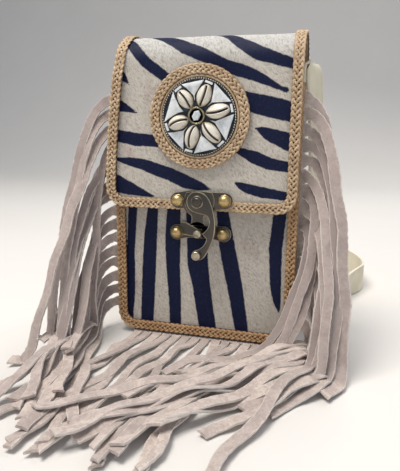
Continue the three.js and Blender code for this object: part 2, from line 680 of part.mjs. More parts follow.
// Directions of a strip at each point. It faces the front at its root, its heading as it falls, and up on the ground.
function stripFrames(points, heading, fromSeam) {
  const ahead = new THREE.Vector3(Math.cos(radians(heading)), Math.sin(radians(heading)), 0);
  const front = new THREE.Vector3(0, -1, 0);
  return points.map((p, i) => {
    const before = points[Math.max(i - 1, 0)];
    const after = points[Math.min(i + 1, points.length - 1)];
    const travel = after.clone().sub(before).normalize();
    const fallen = fromSeam ? smoothstep(i * FINE, 8, 48) : 1;
    const falling = ahead.clone().multiplyScalar(Math.max(-travel.z, 0)).setZ(Math.max(travel.dot(ahead), 0.02));
    const facing = front.clone().lerp(falling.normalize(), fallen);
    const up = facing.addScaledVector(travel, -facing.dot(travel)).normalize();
    const across = new THREE.Vector3().crossVectors(travel, up).normalize();
    return { centre: p.clone(), travel, up, across };
  });
}

// Lays a strip over what is on the ground, and marks where it lies. Near its root it stays down on its header.
function settle(frames, ground, half) {
  const edge = half - ground.cell / 2;
  const overOwn = frames.map((f) => ground.seat(ground.own, PRESSED, f.centre, f.across, edge));
  const rise = STRIP.thick + GAP + SLIVER;
  const overOthers = frames.map((f) => ground.seat(ground.others, rise, f.centre, f.across, half + 1.5));
  const pressed = slide(slide(overOwn, 3, most), 4, mean);
  const clear = slide(slide(overOthers, 14, most), 4, mean);
  frames.forEach((f, i) => {
    const free = smoothstep(i * FINE, 6, 30);
    f.centre.z = Math.max(f.centre.z, pressed[i] * free, clear[i]);
  });
  const lying = frames.filter((f) => Math.abs(f.travel.z) < 0.7 && f.centre.z < 40);
  lying.forEach((f) => ground.lay(f.centre, f.across, edge));
}

// The solid of a settled strip, with few stations.
function stripSolid(frames, heading, fromSeam, halfWidth) {
  const stride = Math.round(STATION / FINE);
  const kept = [0];
  for (let i = Math.round(stride / 2); i < frames.length - stride / 2; i += stride) kept.push(i);
  kept.push(frames.length - 1);
  const line = stripFrames(frames.map((f) => f.centre), heading, fromSeam);
  const stations = kept.map((i) => ({ ...line[i], halfWidth, halfThick: STRIP.thick / 2 }));
  return sweep(stations, FLAT_SECTION);
}

function buildFringe() {
  const ground = new Ground();
  const half = STRIP.width / 2;

  const footReach = 48;
  const foot = new THREE.BoxGeometry(2 * footReach, HEADER.footFront - PANEL_BACK, HEADER.thick);
  foot.translate(0, -(HEADER.footFront + PANEL_BACK) / 2, HEADER.thick / 2 + 0.1);
  const bottomSolids = [foot];
  const spread = (2 * (footReach - half - 0.5)) / (BOTTOM_STRIPS.length - 1);
  BOTTOM_STRIPS.forEach((row, i) => {
    const rootX = -(footReach - half - 0.5) + spread * i;
    const frames = stripFrames(bottomPath(row, rootX), row.heading, false);
    settle(frames, ground, half - 0.3);
    bottomSolids.push(stripSolid(frames, row.heading, false, half - 0.3));
  });
  addMesh(bag, 'fringe_bottom', fuseStrips(...bottomSolids), SUEDE_FINISH);
  ground.nextPiece();

  for (const [name, side, rows] of [['fringe_left', -1, LEFT_STRIPS], ['fringe_right', 1, RIGHT_STRIPS]]) {
    const seamFoot = SEAM.top - STRIP.pitch * (rows.length - 1) - half - 1;
    const seamHeight = SEAM.top + half + 1 - seamFoot;
    const header = new THREE.BoxGeometry(HEADER.outer - HEADER.inner, HEADER.thick, seamHeight);
    header.translate(side * (HEADER.outer + HEADER.inner) / 2, SEAM.y, seamFoot + seamHeight / 2);
    const solids = [header];
    for (let i = rows.length - 1; i >= 0; i -= 1) {
      const row = rows[i];
      const frames = stripFrames(sidePath(side, row, SEAM.top - STRIP.pitch * i), row.heading, true);
      settle(frames, ground, half);
      solids.push(stripSolid(frames, row.heading, true, half));
    }
    addMesh(bag, name, fuseStrips(...solids), SUEDE_FINISH);
    ground.nextPiece();
  }
}

// Strap: the right half of its route, from the seam on the side wall to the middle at the back. It stands up,
// folds over, falls behind the fringe, turns on to its edge and goes round the back on the ground.
// x, y, z: the middle of the strap; wx, wy, wz: the direction of its width.
const STRAP_ROUTE = tableRows(['x', 'y', 'z', 'wx', 'wy', 'wz'], [
  [57, 2, 138, 0, 1, 0],
  [57, 2, 152, 0, 1, 0],
  [57.2, 2, 164, 0.02, 1, 0],
  [58.4, 2, 171.5, 0.1, 1, 0],
  [60.8, 2, 174.8, 0.25, 1, 0],
  [63.2, 2.2, 172, 0.36, 1, 0],
  [64.8, 2.8, 165, 0.4, 1, 0],
  [65.8, 4, 156, 0.38, 1, 0],
  [66.8, 9, 132, 0.34, 1, 0],
  [68, 16, 106, 0.5, 1, 0],
  [69.5, 24, 80, 0.75, 0.7, 0],
  [71, 33, 54, 1, 0.2, 0],
  [72, 44, 28, 1, 0, 0],
  [74, 58, 9, 1, -0.25, 0.1],
  [80, 76, 7.2, 0.85, -0.35, 0.5],
  [90, 96, 9.4, 0.3, -0.2, 0.9],
  [101, 113, 11.1, 0, 0, 1],
  [107, 130, 11.1, 0, 0, 1],
  [106, 150, 11.1, 0, 0, 1],
  [97, 178, 11.1, 0, 0, 1],
  [76, 206, 11.1, 0, 0, 1],
  [42, 228, 11.1, 0, 0, 1],
  [0, 236, 11.1, 0, 0, 1],
]);

function buildStrap() {
  const mirrored = STRAP_ROUTE.slice(0, -1).reverse().map((p) => ({ ...p, x: -p.x, wx: -p.wx }));
  const route = [...STRAP_ROUTE, ...mirrored];
  const line = new THREE.CatmullRomCurve3(route.map((p) => new THREE.Vector3(p.x, p.y, p.z)), false, 'centripetal');
  const count = route.length - 1;
  const stations = [];
  for (let i = 0; i <= count; i += 1) {
    const travel = line.getTangent(i / count);
    const across = new THREE.Vector3(route[i].wx, route[i].wy, route[i].wz);
    across.addScaledVector(travel, -across.dot(travel)).normalize();
    const up = new THREE.Vector3().crossVectors(travel, across);
    const centre = line.getPoint(i / count);
    stations.push({ centre, across, up, halfWidth: STRAP.width / 2, halfThick: STRAP.thick / 2 });
  }
  addMesh(bag, 'strap', sweep(stations, FLAT_SECTION), STRAP_FINISH);
}

buildBody();
buildFlap();
buildLacing();
buildMedallion();
buildLatch();
buildFringe();
buildStrap();

export default bag;
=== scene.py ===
"""Looks of the fringe phone bag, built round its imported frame.

Lengths are in millimetres, in the frame's axes: +Z up, the front faces -Y, and the origin is the middle of
the base.
"""

import logging
from dataclasses import dataclass, field, replace
from enum import Enum
from typing import Callable, Iterable, Sequence, Union

import bmesh
import bpy
import numpy as np
from mathutils import Matrix


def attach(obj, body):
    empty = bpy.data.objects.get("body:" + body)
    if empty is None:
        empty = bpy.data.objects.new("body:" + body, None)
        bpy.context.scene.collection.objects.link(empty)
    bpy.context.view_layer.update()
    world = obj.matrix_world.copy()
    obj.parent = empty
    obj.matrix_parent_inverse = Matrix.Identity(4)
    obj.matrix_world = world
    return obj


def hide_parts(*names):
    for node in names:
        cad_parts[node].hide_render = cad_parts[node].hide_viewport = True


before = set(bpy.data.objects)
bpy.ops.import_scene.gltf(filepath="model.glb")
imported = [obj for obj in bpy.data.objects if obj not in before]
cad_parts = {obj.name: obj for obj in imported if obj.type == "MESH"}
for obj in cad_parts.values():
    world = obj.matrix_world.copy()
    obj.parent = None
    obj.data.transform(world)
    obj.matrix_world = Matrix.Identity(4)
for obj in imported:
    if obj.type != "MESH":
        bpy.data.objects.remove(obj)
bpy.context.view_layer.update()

Array = np.ndarray
Material = bpy.types.Material
Numbers = Sequence[float]
Colour = tuple[float, float, float, float]
Place = tuple[float, float, float]
Stripe = tuple[Place, ...]
MM = 0.001
LOG = logging.getLogger("bag")


class Body(Enum):
    """Moving bodies of the frame."""

    BAG = "bag"
    HOOK = "hook"


class Side(Enum):
    """Sides of the bag as seen from the front, with the sign of their X."""

    LEFT = -1
    RIGHT = 1


def paint(red: int, green: int, blue: int) -> Colour:
    """Linear colour of a screen colour given as 0 to 255, whose curve is a straight foot and then a power."""
    screen = np.array([red, green, blue]) / 255.0
    return (*np.where(screen <= 0.04045, screen / 12.92, ((screen + 0.055) / 1.055) ** 2.4).tolist(), 1.0)


def unit(vectors: Array) -> Array:
    """Vectors divided by their lengths."""
    return vectors / np.maximum(np.linalg.norm(vectors, axis=-1, keepdims=True), 1e-9)


def ease(values: Array, low: float, high: float) -> Array:
    """Smooth step: 0 below low, 1 above high, and 3t squared less 2t cubed between them."""
    part = np.clip((values - low) / (high - low), 0.0, 1.0)
    return part * part * (3.0 - 2.0 * part)


def runs_along(path: Array) -> Array:
    """Distance along a path to each of its points."""
    steps = np.linalg.norm(np.diff(path, axis=0), axis=1)
    return np.concatenate([[0.0], np.cumsum(steps)])


def spaced(path: Array, step: float) -> Array:
    """A path walked again in even steps.

    Args:
        path: Places in order, as rows of any number of coordinates.
        step: The wanted spacing.

    Returns:
        Places read off the path's straight spans at equal distances along it.
    """
    along = runs_along(path)
    stops = np.linspace(0.0, along[-1], max(2, round(along[-1] / step) + 1))
    return np.stack([np.interp(stops, along, part) for part in path.T], axis=1)


def slide(values: Array, window: int, take: Callable[..., Array]) -> Array:
    """A maximum or mean taken over a window of places either side of each one."""
    padded = np.pad(values, window, mode="edge")
    return take(np.lib.stride_tricks.sliding_window_view(padded, 2 * window + 1), axis=1)


def travels(path: Array, loop: bool = False) -> Array:
    """Unit directions of travel along a path or a loop, from the place before to the place after."""
    around = np.roll(path, -1, axis=0) - np.roll(path, 1, axis=0)
    return unit(around if loop else np.gradient(path, axis=0))


def arc(centre: Numbers, radius: Union[float, Numbers], start: float, stop: float, count: int) -> Array:
    """Points of the arc of a circle, or of an ellipse of two radii, between two angles in degrees."""
    angles = np.radians(np.linspace(start, stop, count))
    return np.asarray(centre) + np.asarray(radius) * np.stack([np.cos(angles), np.sin(angles)], axis=1)


def bow(start: Numbers, pull: Numbers, stop: Numbers, count: int = 10) -> Array:
    """Quadratic Bezier curve: two ends and the point that the curve is pulled towards."""
    t = np.linspace(0.0, 1.0, count)[:, None]
    return (1 - t) ** 2 * np.asarray(start) + 2 * t * (1 - t) * np.asarray(pull) + t**2 * np.asarray(stop)


def bows(start: Numbers, *legs: Numbers) -> Array:
    """Bows that follow each other; a leg is the place that pulls and the place to stop, as four numbers."""
    ends = np.array([(*start, *start), *legs], dtype=float)
    return np.concatenate([bow(before[2:], after[:2], after[2:]) for before, after in zip(ends, ends[1:])])


def outline(*runs: Array) -> Array:
    """Joins stretches of an outline into one ring, without the points that repeat the one before."""
    ring = np.concatenate(runs)
    return ring[np.linalg.norm(ring - np.roll(ring, 1, axis=0), axis=1) > 1e-4]


def round_trip(outside: int, inside: int) -> tuple[Array, Array]:
    """Shares of the half width round a thin sheet, across and back, and 1 on its outside, else 0."""
    share = np.concatenate([np.linspace(-1, 1, outside), np.linspace(1, -1, inside)])
    return share, np.repeat([1.0, 0.0], [outside, inside])


def thin_section(rim: float, inner: float) -> tuple[Array, Array]:
    """Shares of the half width and of the half thickness round a thin section with rounded edges."""
    face = np.array([-rim, -inner, 0.0, inner, rim])
    return np.array([*face, 1.0, *face[::-1], -1.0]), np.repeat([1.0, 0.0, -1.0, 0.0], [5, 1, 5, 1])


def rows_up(base: float, corner: float, top: float, step: float, turns: int) -> Array:
    """Row heights of a sheet from its base to its top, closer together round its lower corners."""
    low = base + corner * (1.0 - np.cos(np.linspace(0.0, np.pi / 2, turns)))
    return np.concatenate([low, np.arange(base + corner + step, top, step), [top]])


def narrowed(rows: Array, base: float, half: float, corner: float) -> Array:
    """Half widths at row heights: the half width, drawn in along a quarter circle below the corner."""
    drop = np.clip(base + corner - rows, 0.0, corner)
    return half - corner + np.sqrt(corner**2 - drop**2)


def bearing(degrees: float) -> complex:
    """A direction in a plane as a complex number of length 1."""
    return complex(np.exp(1j * np.radians(degrees)))


def put(
    name: str,
    data: bpy.types.ID,
    axes: Sequence[Array] = tuple(np.eye(3)),
    place: Numbers = (0.0, 0.0, 0.0),
) -> bpy.types.Object:
    """Puts an object into the scene.

    Args:
        name: Its name.
        data: Its mesh, light or camera.
        axes: Directions of its three axes.
        place: Where it is, in metres.

    Returns:
        The new object.
    """
    pose = np.eye(4)
    pose[:3, :3] = np.transpose(axes)
    pose[:3, 3] = place
    made = bpy.data.objects.new(name, data)
    made.matrix_world = Matrix(pose.tolist())
    bpy.context.scene.collection.objects.link(made)
    return made


@dataclass
class Surface:
    """A mesh: its points, its faces as rows of point numbers, and named numbers for each point."""

    points: Array
    faces: list[Array]
    marks: dict[str, Array] = field(default_factory=dict)

    @classmethod
    def grid(cls, points: Array, ring: bool = False, loop: bool = False, **marks: Array) -> "Surface":
        """Quads over a grid of points.

        Args:
            points: Places, as rows by columns by 3.
            ring: Joins the last column to the first.
            loop: Joins the last row to the first.
            marks: Numbers for the points, each spread over rows by columns.

        Returns:
            The surface, open where it isn't joined.
        """
        rows, columns = points.shape[:2]
        numbers = np.arange(rows * columns).reshape(rows, columns)
        if ring:
            numbers = np.concatenate([numbers, numbers[:, :1]], axis=1)
        if loop:
            numbers = np.concatenate([numbers, numbers[:1]], axis=0)
        corners = [numbers[:-1, :-1], numbers[:-1, 1:], numbers[1:, 1:], numbers[1:, :-1]]
        spread = {name: np.broadcast_to(mark, (rows, columns)).ravel() for name, mark in marks.items()}
        return cls(points.reshape(-1, 3), [np.stack(corners, axis=-1).reshape(-1, 4)], spread)

    @classmethod
    def tube(cls, rings: Array, loop: bool = False, **marks: Array) -> "Surface":
        """Rings of points joined into a tube.

        Args:
            rings: Places, as rings by points by 3.
            loop: Joins the last ring to the first; otherwise flat faces close the ends.
            marks: Numbers for the points.

        Returns:
            The closed surface.
        """
        made = cls.grid(rings, ring=True, loop=loop, **marks)
        if not loop:
            around = np.arange(rings.shape[1])
            made.faces += [around[None, ::-1], (rings.shape[0] - 1) * rings.shape[1] + around[None, :]]
        return made

    @classmethod
    def carried(
        cls, path: Array, across: Array, up: Array, section: Array, loop: bool = False, **marks: Array
    ) -> "Surface":
        """A section carried along a path.

        Each point is the path's place, plus the section's width along across and its height along up.

        Args:
            path: Places, as rows by 3.
            across: Directions of the section's width.
            up: Directions of its height.
            section: Width and height pairs, as columns by 2, or rows by columns by 2.
            loop: Joins the end of the path to its start.
            marks: Numbers for the points.

        Returns:
            The swept tube.
        """
        pairs = np.broadcast_to(section, (len(path), *section.shape[-2:]))
        rings = path[:, None] + pairs[..., :1] * across[:, None] + pairs[..., 1:] * up[:, None]
        return cls.tube(rings, loop, **marks)

    @classmethod
    def turned(
        cls, profile: Array, segments: int, swell: Union[Array, float] = 1.0, **marks: Array
    ) -> "Surface":
        """A turned piece about the local third axis.

        A profile row (radius, height) becomes a ring of that radius, times swell, at that height.

        Args:
            profile: Radius and height pairs from one end to the other.
            segments: Points in each ring.
            swell: Factors on the radius, spread over rows by segments.
            marks: Numbers for the points.

        Returns:
            The turned surface in its own axes.
        """
        angles = 2 * np.pi * np.arange(segments) / segments
        radius = profile[:, :1] * swell * np.ones(segments)
        height = np.broadcast_to(profile[:, 1:], radius.shape)
        rings = np.stack([radius * np.cos(angles), radius * np.sin(angles), height], axis=-1)
        return cls.tube(rings, **marks)

    @classmethod
    def plate(cls, ring: Array, thick: float, bevel: float) -> "Surface":
        """A flat plate with eased edges.

        The outline is stacked in layers, and the first and last are drawn in along its normals by the bevel.

        Args:
            ring: The outline's points in order.
            thick: The plate's thickness.
            bevel: Width of the eased edge.

        Returns:
            The plate in its own axes, with its rim marked as edge.
        """
        ahead = unit(np.roll(ring, -1, axis=0) - np.roll(ring, 1, axis=0))
        turn = np.cross(ring, np.roll(ring, -1, axis=0)).sum()
        outward = np.sign(turn) * np.stack([ahead[:, 1], -ahead[:, 0]], axis=1)
        layers = np.array([[1.0, 0.0], [0.3, 0.3 * bevel], [0.0, bevel], [0.0, thick - bevel],
                           [0.3, thick - 0.3 * bevel], [1.0, thick]])
        flat = ring[None] - bevel * layers[:, None, :1] * outward[None]
        height = np.broadcast_to(layers[:, None, 1:], (*flat.shape[:2], 1))
        worn = np.array([0.0, 0.5, 1.0, 1.0, 1.0, 0.0])[:, None]
        return cls.tube(np.concatenate([flat, height], axis=-1), edge=worn)

    @staticmethod
    def joined(parts: Iterable["Surface"]) -> "Surface":
        """Several surfaces as one mesh.

        Args:
            parts: The surfaces.

        Returns:
            All of them; a mark that one of them lacks is 0 there.
        """
        pieces = list(parts)
        starts = np.cumsum([0] + [len(piece.points) for piece in pieces])
        faces = [rows + start for piece, start in zip(pieces, starts) for rows in piece.faces]
        names = sorted({name for piece in pieces for name in piece.marks})
        marks = {
            name: np.concatenate([piece.marks.get(name, np.zeros(len(piece.points))) for piece in pieces])
            for name in names
        }
        return Surface(np.concatenate([piece.points for piece in pieces]), faces, marks)

    def moved(self, shift: Numbers) -> "Surface":
        """The surface shifted in its own axes."""
        return replace(self, points=self.points + shift)

    def facing(self, distance: float, x: float = 0.0, z: float = 0.0) -> "Surface":
        """The surface with its axes as X, Z and towards the front, at a distance in front of the middle."""
        right, high, out = self.points.T
        return replace(self, points=np.stack([x + right, -(distance + out), z + high], axis=1))

    def spun(self, degrees: float) -> "Surface":
        """The surface turned about its third axis, by multiplying its places as complex numbers."""
        flat = (self.points[:, 0] + 1j * self.points[:, 1]) * bearing(degrees)
        return replace(self, points=np.stack([flat.real, flat.imag, self.points[:, 2]], axis=1))

    def marked(self, **values: float) -> "Surface":
        """The surface with a number set all over it."""
        extra = {name: np.full(len(self.points), value) for name, value in values.items()}
        return replace(self, marks={**self.marks, **extra})

    def build(
        self,
        name: str,
        material: Material,
        slot: str,
        nodes: Sequence[str] = (),
        body: Body = Body.BAG,
        crease: float = 40.0,
    ) -> bpy.types.Object:
        """Puts the surface into the scene as a piece.

        Args:
            name: Name of the piece.
            material: Its finish.
            slot: The record's material slot; not used.
            nodes: Frame nodes that it stands for.
            body: The body that it rides on.
            crease: Edges that bend by more degrees than this stay sharp.

        Returns:
            The new object.
        """
        mesh = bpy.data.meshes.new(name)
        rows = [row for part in self.faces for row in part.tolist()]
        mesh.from_pydata(self.points * MM, [], rows)
        for label, values in self.marks.items():
            layer = mesh.attributes.new(label, "FLOAT", "POINT")
            layer.data.foreach_set("value", np.ascontiguousarray(values, dtype=np.float32))
        work = bmesh.new()
        work.from_mesh(mesh)
        bmesh.ops.remove_doubles(work, verts=work.verts, dist=1e-6)
        bmesh.ops.recalc_face_normals(work, faces=work.faces)
        work.to_mesh(mesh)
        work.free()
        mesh.polygons.foreach_set("use_smooth", np.ones(len(mesh.polygons), dtype=bool))
        mesh.set_sharp_from_angle(angle=np.radians(crease))
        mesh.materials.append(material)
        piece = put(name, mesh)
        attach(piece, body.value)
        if nodes:
            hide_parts(*nodes)
        LOG.info("%s: %d faces on %s", name, len(mesh.polygons), body.value)
        return piece


Input = Union["Value", float, Numbers]


class Value:
    """A node's output. Python's operators on it add Math nodes."""

    def __init__(self, shader: "Shader", socket: bpy.types.NodeSocket) -> None:
        """Keeps the socket and the shader that it belongs to."""
        self.shader = shader
        self.socket = socket

    def _math(self, operation: str, first: Input, second: Input) -> "Value":
        """A Math node of two values."""
        return self.shader.node("ShaderNodeMath", {"operation": operation}, {0: first, 1: second})

    def __add__(self, other: Input) -> "Value":
        """This plus other."""
        return self._math("ADD", self, other)

    def __radd__(self, other: Input) -> "Value":
        """Other plus this."""
        return self._math("ADD", other, self)

    def __sub__(self, other: Input) -> "Value":
        """This less other."""
        return self._math("SUBTRACT", self, other)

    def __rsub__(self, other: Input) -> "Value":
        """Other less this."""
        return self._math("SUBTRACT", other, self)

    def __mul__(self, other: Input) -> "Value":
        """This times other."""
        return self._math("MULTIPLY", self, other)

    def __rmul__(self, other: Input) -> "Value":
        """Other times this."""
        return self._math("MULTIPLY", other, self)


class Shader:
    """A material under construction: a Principled shader and the nodes that feed it."""

    def __init__(self, name: str) -> None:
        """Starts an empty material with its shader and output.

        Args:
            name: The material's name.
        """
        self.material = bpy.data.materials.new(name)
        self.material.use_nodes = True
        self.tree = self.material.node_tree
        self.tree.nodes.clear()
        self.surface = self.tree.nodes.new("ShaderNodeBsdfPrincipled")
        output = self.tree.nodes.new("ShaderNodeOutputMaterial")
        self.tree.links.new(self.surface.outputs["BSDF"], output.inputs["Surface"])

    def _feed(self, socket: bpy.types.NodeSocket, value: Input) -> None:
        """Links a value to a socket, or sets a constant on it.

        Args:
            socket: The socket.
            value: A node's output or a constant.
        """
        if isinstance(value, Value):
            self.tree.links.new(value.socket, socket)
        else:
            socket.default_value = value

    def node(
        self,
        kind: str,
        settings: dict[str, str],
        inputs: dict[Union[str, int], Input],
        output: Union[str, int] = 0,
    ) -> Value:
        """Adds a node.

        Args:
            kind: The node's type.
            settings: Its properties, set before its sockets.
            inputs: Constants or values for its sockets, by name or number.
            output: The output that is wanted.

        Returns:
            That output.
        """
        made = self.tree.nodes.new(kind)
        for name, value in settings.items():
            setattr(made, name, value)
        for name, value in inputs.items():
            self._feed(made.inputs[name], value)
        return Value(self, made.outputs[output])

    def dress(self, **inputs: Input) -> Material:
        """Feeds the Principled shader's sockets.

        Args:
            inputs: Values by the sockets' names, in small letters with underscores.

        Returns:
            The material.
        """
        for name, value in inputs.items():
            label = name.replace("_", " ").title().replace("Ior", "IOR")
            self._feed(self.surface.inputs[label], value)
        return self.material

    def place(self) -> Value:
        """Object coordinates, in metres."""
        return self.node("ShaderNodeTexCoord", {}, {}, "Object")

    def mark(self, name: str) -> Value:
        """A number that the mesh holds for each point."""
        return self.node("ShaderNodeAttribute", {"attribute_name": name}, {}, "Fac")

    def vector(self, x: Input, y: Input) -> Value:
        """A flat vector of two values."""
        return self.node("ShaderNodeCombineXYZ", {}, {0: x, 1: y})

    def stretch(self, vector: Value, scale: Numbers) -> Value:
        """A vector with its three parts scaled."""
        return self.node("ShaderNodeMapping", {}, {"Vector": vector, "Scale": scale})

    def noise(
        self, vector: Value, scale: float, detail: float = 3.0, rough: float = 0.55, bent: float = 0.0
    ) -> Value:
        """Noise from 0 to 1."""
        sockets = {"Vector": vector, "Scale": scale, "Detail": detail, "Roughness": rough, "Distortion": bent}
        return self.node("ShaderNodeTexNoise", {}, sockets)

    def cells(self, vector: Value, scale: float) -> Value:
        """Distances to the middles of a pattern of cells."""
        return self.node("ShaderNodeTexVoronoi", {}, {"Vector": vector, "Scale": scale}, "Distance")

    def step(self, value: Value, low: float, high: float) -> Value:
        """Smooth step of a value between two limits."""
        limits = {"Value": value, "From Min": low, "From Max": high}
        return self.node("ShaderNodeMapRange", {"interpolation_type": "SMOOTHSTEP"}, limits)

    def mix(self, share: Input, first: Input, second: Input) -> Value:
        """A mix of two colours."""
        return self.node("ShaderNodeMix", {"data_type": "RGBA"}, {0: share, 6: first, 7: second}, 2)

    def bump(self, height: Value, distance: float, strength: float) -> Value:
        """A normal from heights, whose full range stands for a distance in metres."""
        sockets = {"Height": height, "Distance": distance, "Strength": strength}
        return self.node("ShaderNodeBump", {}, sockets, "Normal")


@dataclass(frozen=True)
class HideFinish:
    """Short hair-on hide, cream with dark stripes."""

    cream: Colour = paint(202, 196, 186)
    # white: painted light for the top of the flap, from the crown on.
    white: Colour = paint(197, 197, 194)
    shade: Colour = paint(132, 123, 112)
    pink: Colour = paint(182, 164, 160)
    stripe: Colour = paint(11, 20, 52)
    stripe_light: Colour = paint(42, 52, 86)
    flesh: Colour = paint(156, 134, 116)

    def material(self) -> Material:
        """Slantwise hair, whiter from the crown on as painted light on the flap's top, stripes with broken
        edges, and a plain flesh side.

        Returns:
            The hide.
        """
        s = Shader("hide")
        across, run = s.mark("across"), s.mark("run")
        spot = s.vector(across, run)
        sweep = (s.noise(spot, 0.05, 2.0) - 0.5) * 14.0
        lying = s.vector(across * 0.8 + run * 0.6 + sweep, run * 0.8 - across * 0.6)
        hair = s.noise(s.stretch(lying, (2.3, 0.42, 1.0)), 1.0, 3.0, 0.6, 0.3)
        tufts = s.noise(s.stretch(lying, (0.62, 0.2, 1.0)), 1.0, 3.0, 0.6, 0.6)
        ragged = s.mark("stripe") + (hair - 0.5) * 1.7 + (tufts - 0.5) * 1.4
        striped = s.step(ragged, -0.3, 0.35)
        coat = s.mix(s.step(s.noise(spot, 0.05, 2.0, 0.5, 0.4), 0.58, 0.74) * 0.7, self.cream, self.pink)
        # Painted light: from the crown on, the coat turns to white, standing for the light on the flap's top.
        coat = s.mix(s.step(s.mark("crown"), 0.0, 1.0), coat, self.white)
        coat = s.mix(s.step(hair * 0.7 + tufts * 0.3, 0.55, 0.38) * 0.64, coat, self.shade)
        dark = s.mix(s.step(hair, 0.52, 0.8), self.stripe, self.stripe_light)
        return s.dress(
            base_color=s.mix(s.mark("inner"), s.mix(striped, coat, dark), self.flesh),
            roughness=0.8 - striped * 0.2,
            specular_ior_level=0.2,
            normal=s.bump(hair * 0.7 + tufts * 0.3, 0.0005, 0.6),
        )


@dataclass(frozen=True)
class SuedeFinish:
    """Matt suede whose nap lies in patches, with paler cut edges that are partly painted highlight, and
    painted shade on the strips that hang.
    """

    name: str = "suede"
    base: Colour = paint(202, 186, 177)
    # deep: the nap's darker tone, and also the painted shade colour on hanging strips.
    deep: Colour = paint(150, 137, 134)
    pale: Colour = paint(222, 210, 202)
    cut: Colour = paint(236, 229, 222)

    def material(self) -> Material:
        """Nap brushed in small patches, tufts and fine fibres, painted shade on hanging strips, and pale
        edges from the side mark that are partly painted highlight.

        Returns:
            The suede.
        """
        s = Shader(self.name)
        spot = s.place()
        strip = s.mark("strip")
        patches = s.noise(spot, 95.0, 3.0, 0.6, 0.8)
        tufts = s.noise(spot, 420.0, 4.0, 0.65, 1.2)
        fibres = s.noise(spot, 1900.0, 3.0, 0.7)
        coat = s.mix(s.step(patches * 0.5 + tufts * 0.5, 0.38, 0.62), self.deep, self.pale)
        coat = s.mix(0.5, coat, self.base)
        coat = s.mix(s.step(fibres, 0.45, 0.75) * 0.3, coat, self.pale)
        # Painted shade: the hang mark mixes hanging strips halfway towards deep. The strip mark adds a random
        # tone.
        coat = s.mix(s.step(strip, 0.3, 1.0) * 0.45 + s.mark("hang") * 0.5, coat, self.deep)
        # Paler cut edges from the side mark: partly the suede's own cut fibres, partly painted highlight.
        edge = s.step(s.mark("side") + (tufts - 0.5) * 0.25, 0.74, 1.0)
        return s.dress(
            base_color=s.mix(edge * 0.7, coat, self.cut),
            roughness=0.95,
            specular_ior_level=0.1,
            sheen_weight=0.25,
            normal=s.bump(fibres * 0.4 + tufts * 0.6, 0.0006, 0.7),
        )


@dataclass(frozen=True)
class LacingFinish:
    """Waxed tan lacing, with painted shade darkening its edges and near-black painted shade in the holes
    under it.
    """

    name: str = "lacing"
    tan: Colour = paint(171, 144, 113)
    light: Colour = paint(206, 182, 150)
    edge: Colour = paint(128, 94, 64)
    # Near-black painted shade for the holes between and under the laces.
    core: Colour = paint(58, 36, 26)

    def material(self) -> Material:
        """Fine grain on the laces, painted shade towards their edges, and the near-black of painted shade on
        the sheet under them.

        Returns:
            The lacing.
        """
        s = Shader(self.name)
        grain = s.noise(s.place(), 420.0, 4.0, 0.6)
        patches = s.noise(s.place(), 90.0, 2.0)
        lace = s.mix(s.step(patches * 0.5 + grain * 0.5, 0.34, 0.68), self.tan, self.light)
        # Painted shade: each lace darkens towards its edges, where it dips under the others.
        lace = s.mix(s.step(s.mark("edge"), 0.55, 1.0) * 0.7, lace, self.edge)
        return s.dress(
            base_color=s.mix(s.mark("core"), lace, self.core),
            roughness=0.5 + grain * 0.2,
            normal=s.bump(grain, 0.0002, 0.5),
        )


@dataclass(frozen=True)
class LeatherFinish:
    """Smooth leather with a pebbled grain and paler worn edges."""

    name: str
    base: Colour
    deep: Colour
    worn: Colour
    rough: float = 0.55

    def material(self) -> Material:
        """Grain from small cells, soft blotches, and wear from the edge mark.

        Returns:
            The leather.
        """
        s = Shader(self.name)
        spot = s.place()
        pebble = s.cells(spot, 900.0)
        blotch = s.noise(spot, 45.0, 4.0, 0.6)
        coat = s.mix(s.step(blotch, 0.3, 0.7), self.deep, self.base)
        coat = s.mix(s.step(pebble, 0.45, 0.05) * 0.15, coat, self.deep)
        worn = s.step(s.mark("edge") + (blotch - 0.5) * 0.5, 0.6, 1.0)
        return s.dress(
            base_color=s.mix(worn * 0.7, coat, self.worn),
            roughness=self.rough + (blotch - 0.5) * 0.2,
            specular_ior_level=0.35,
            normal=s.bump(pebble, 0.0001, 0.6),
        )


@dataclass(frozen=True)
class MetalFinish:
    """Cast metal with a dark skin, bright in patches and on its edges, where the brightness is partly wear
    and partly painted highlight.
    """

    name: str
    skin: Colour
    bright: Colour
    rough: float
    wear: float
    # hollow: near-black painted shade for recesses and openings.
    hollow: Colour = paint(16, 16, 20)

    def material(self) -> Material:
        """Patina in blotches and specks, bare where the edge mark is high, partly as wear and partly as
        painted highlight, and near-black painted shade where the deep mark is set.

        Returns:
            The metal.
        """
        s = Shader(self.name)
        spot = s.place()
        blotch = s.noise(spot, 210.0, 5.0, 0.65)
        specks = s.noise(spot, 1500.0, 3.0, 0.7)
        # The edge mark brightens rims and bevels: partly wear, partly painted highlight.
        worn = s.mark("edge") * 0.75 + blotch * 0.7 + specks * 0.25
        bare = s.step(worn, 1.0 - self.wear, 1.35 - self.wear)
        # Painted shade: the deep mark turns the skin near-black.
        skin = s.mix(s.mark("deep"), self.skin, self.hollow)
        return s.dress(
            base_color=s.mix(bare - s.mark("deep"), skin, self.bright),
            metallic=1.0,
            roughness=self.rough + (specks - 0.5) * 0.25 - bare * 0.08,
            normal=s.bump(specks * 0.6 + blotch * 0.4, 0.00012, 0.5),
        )


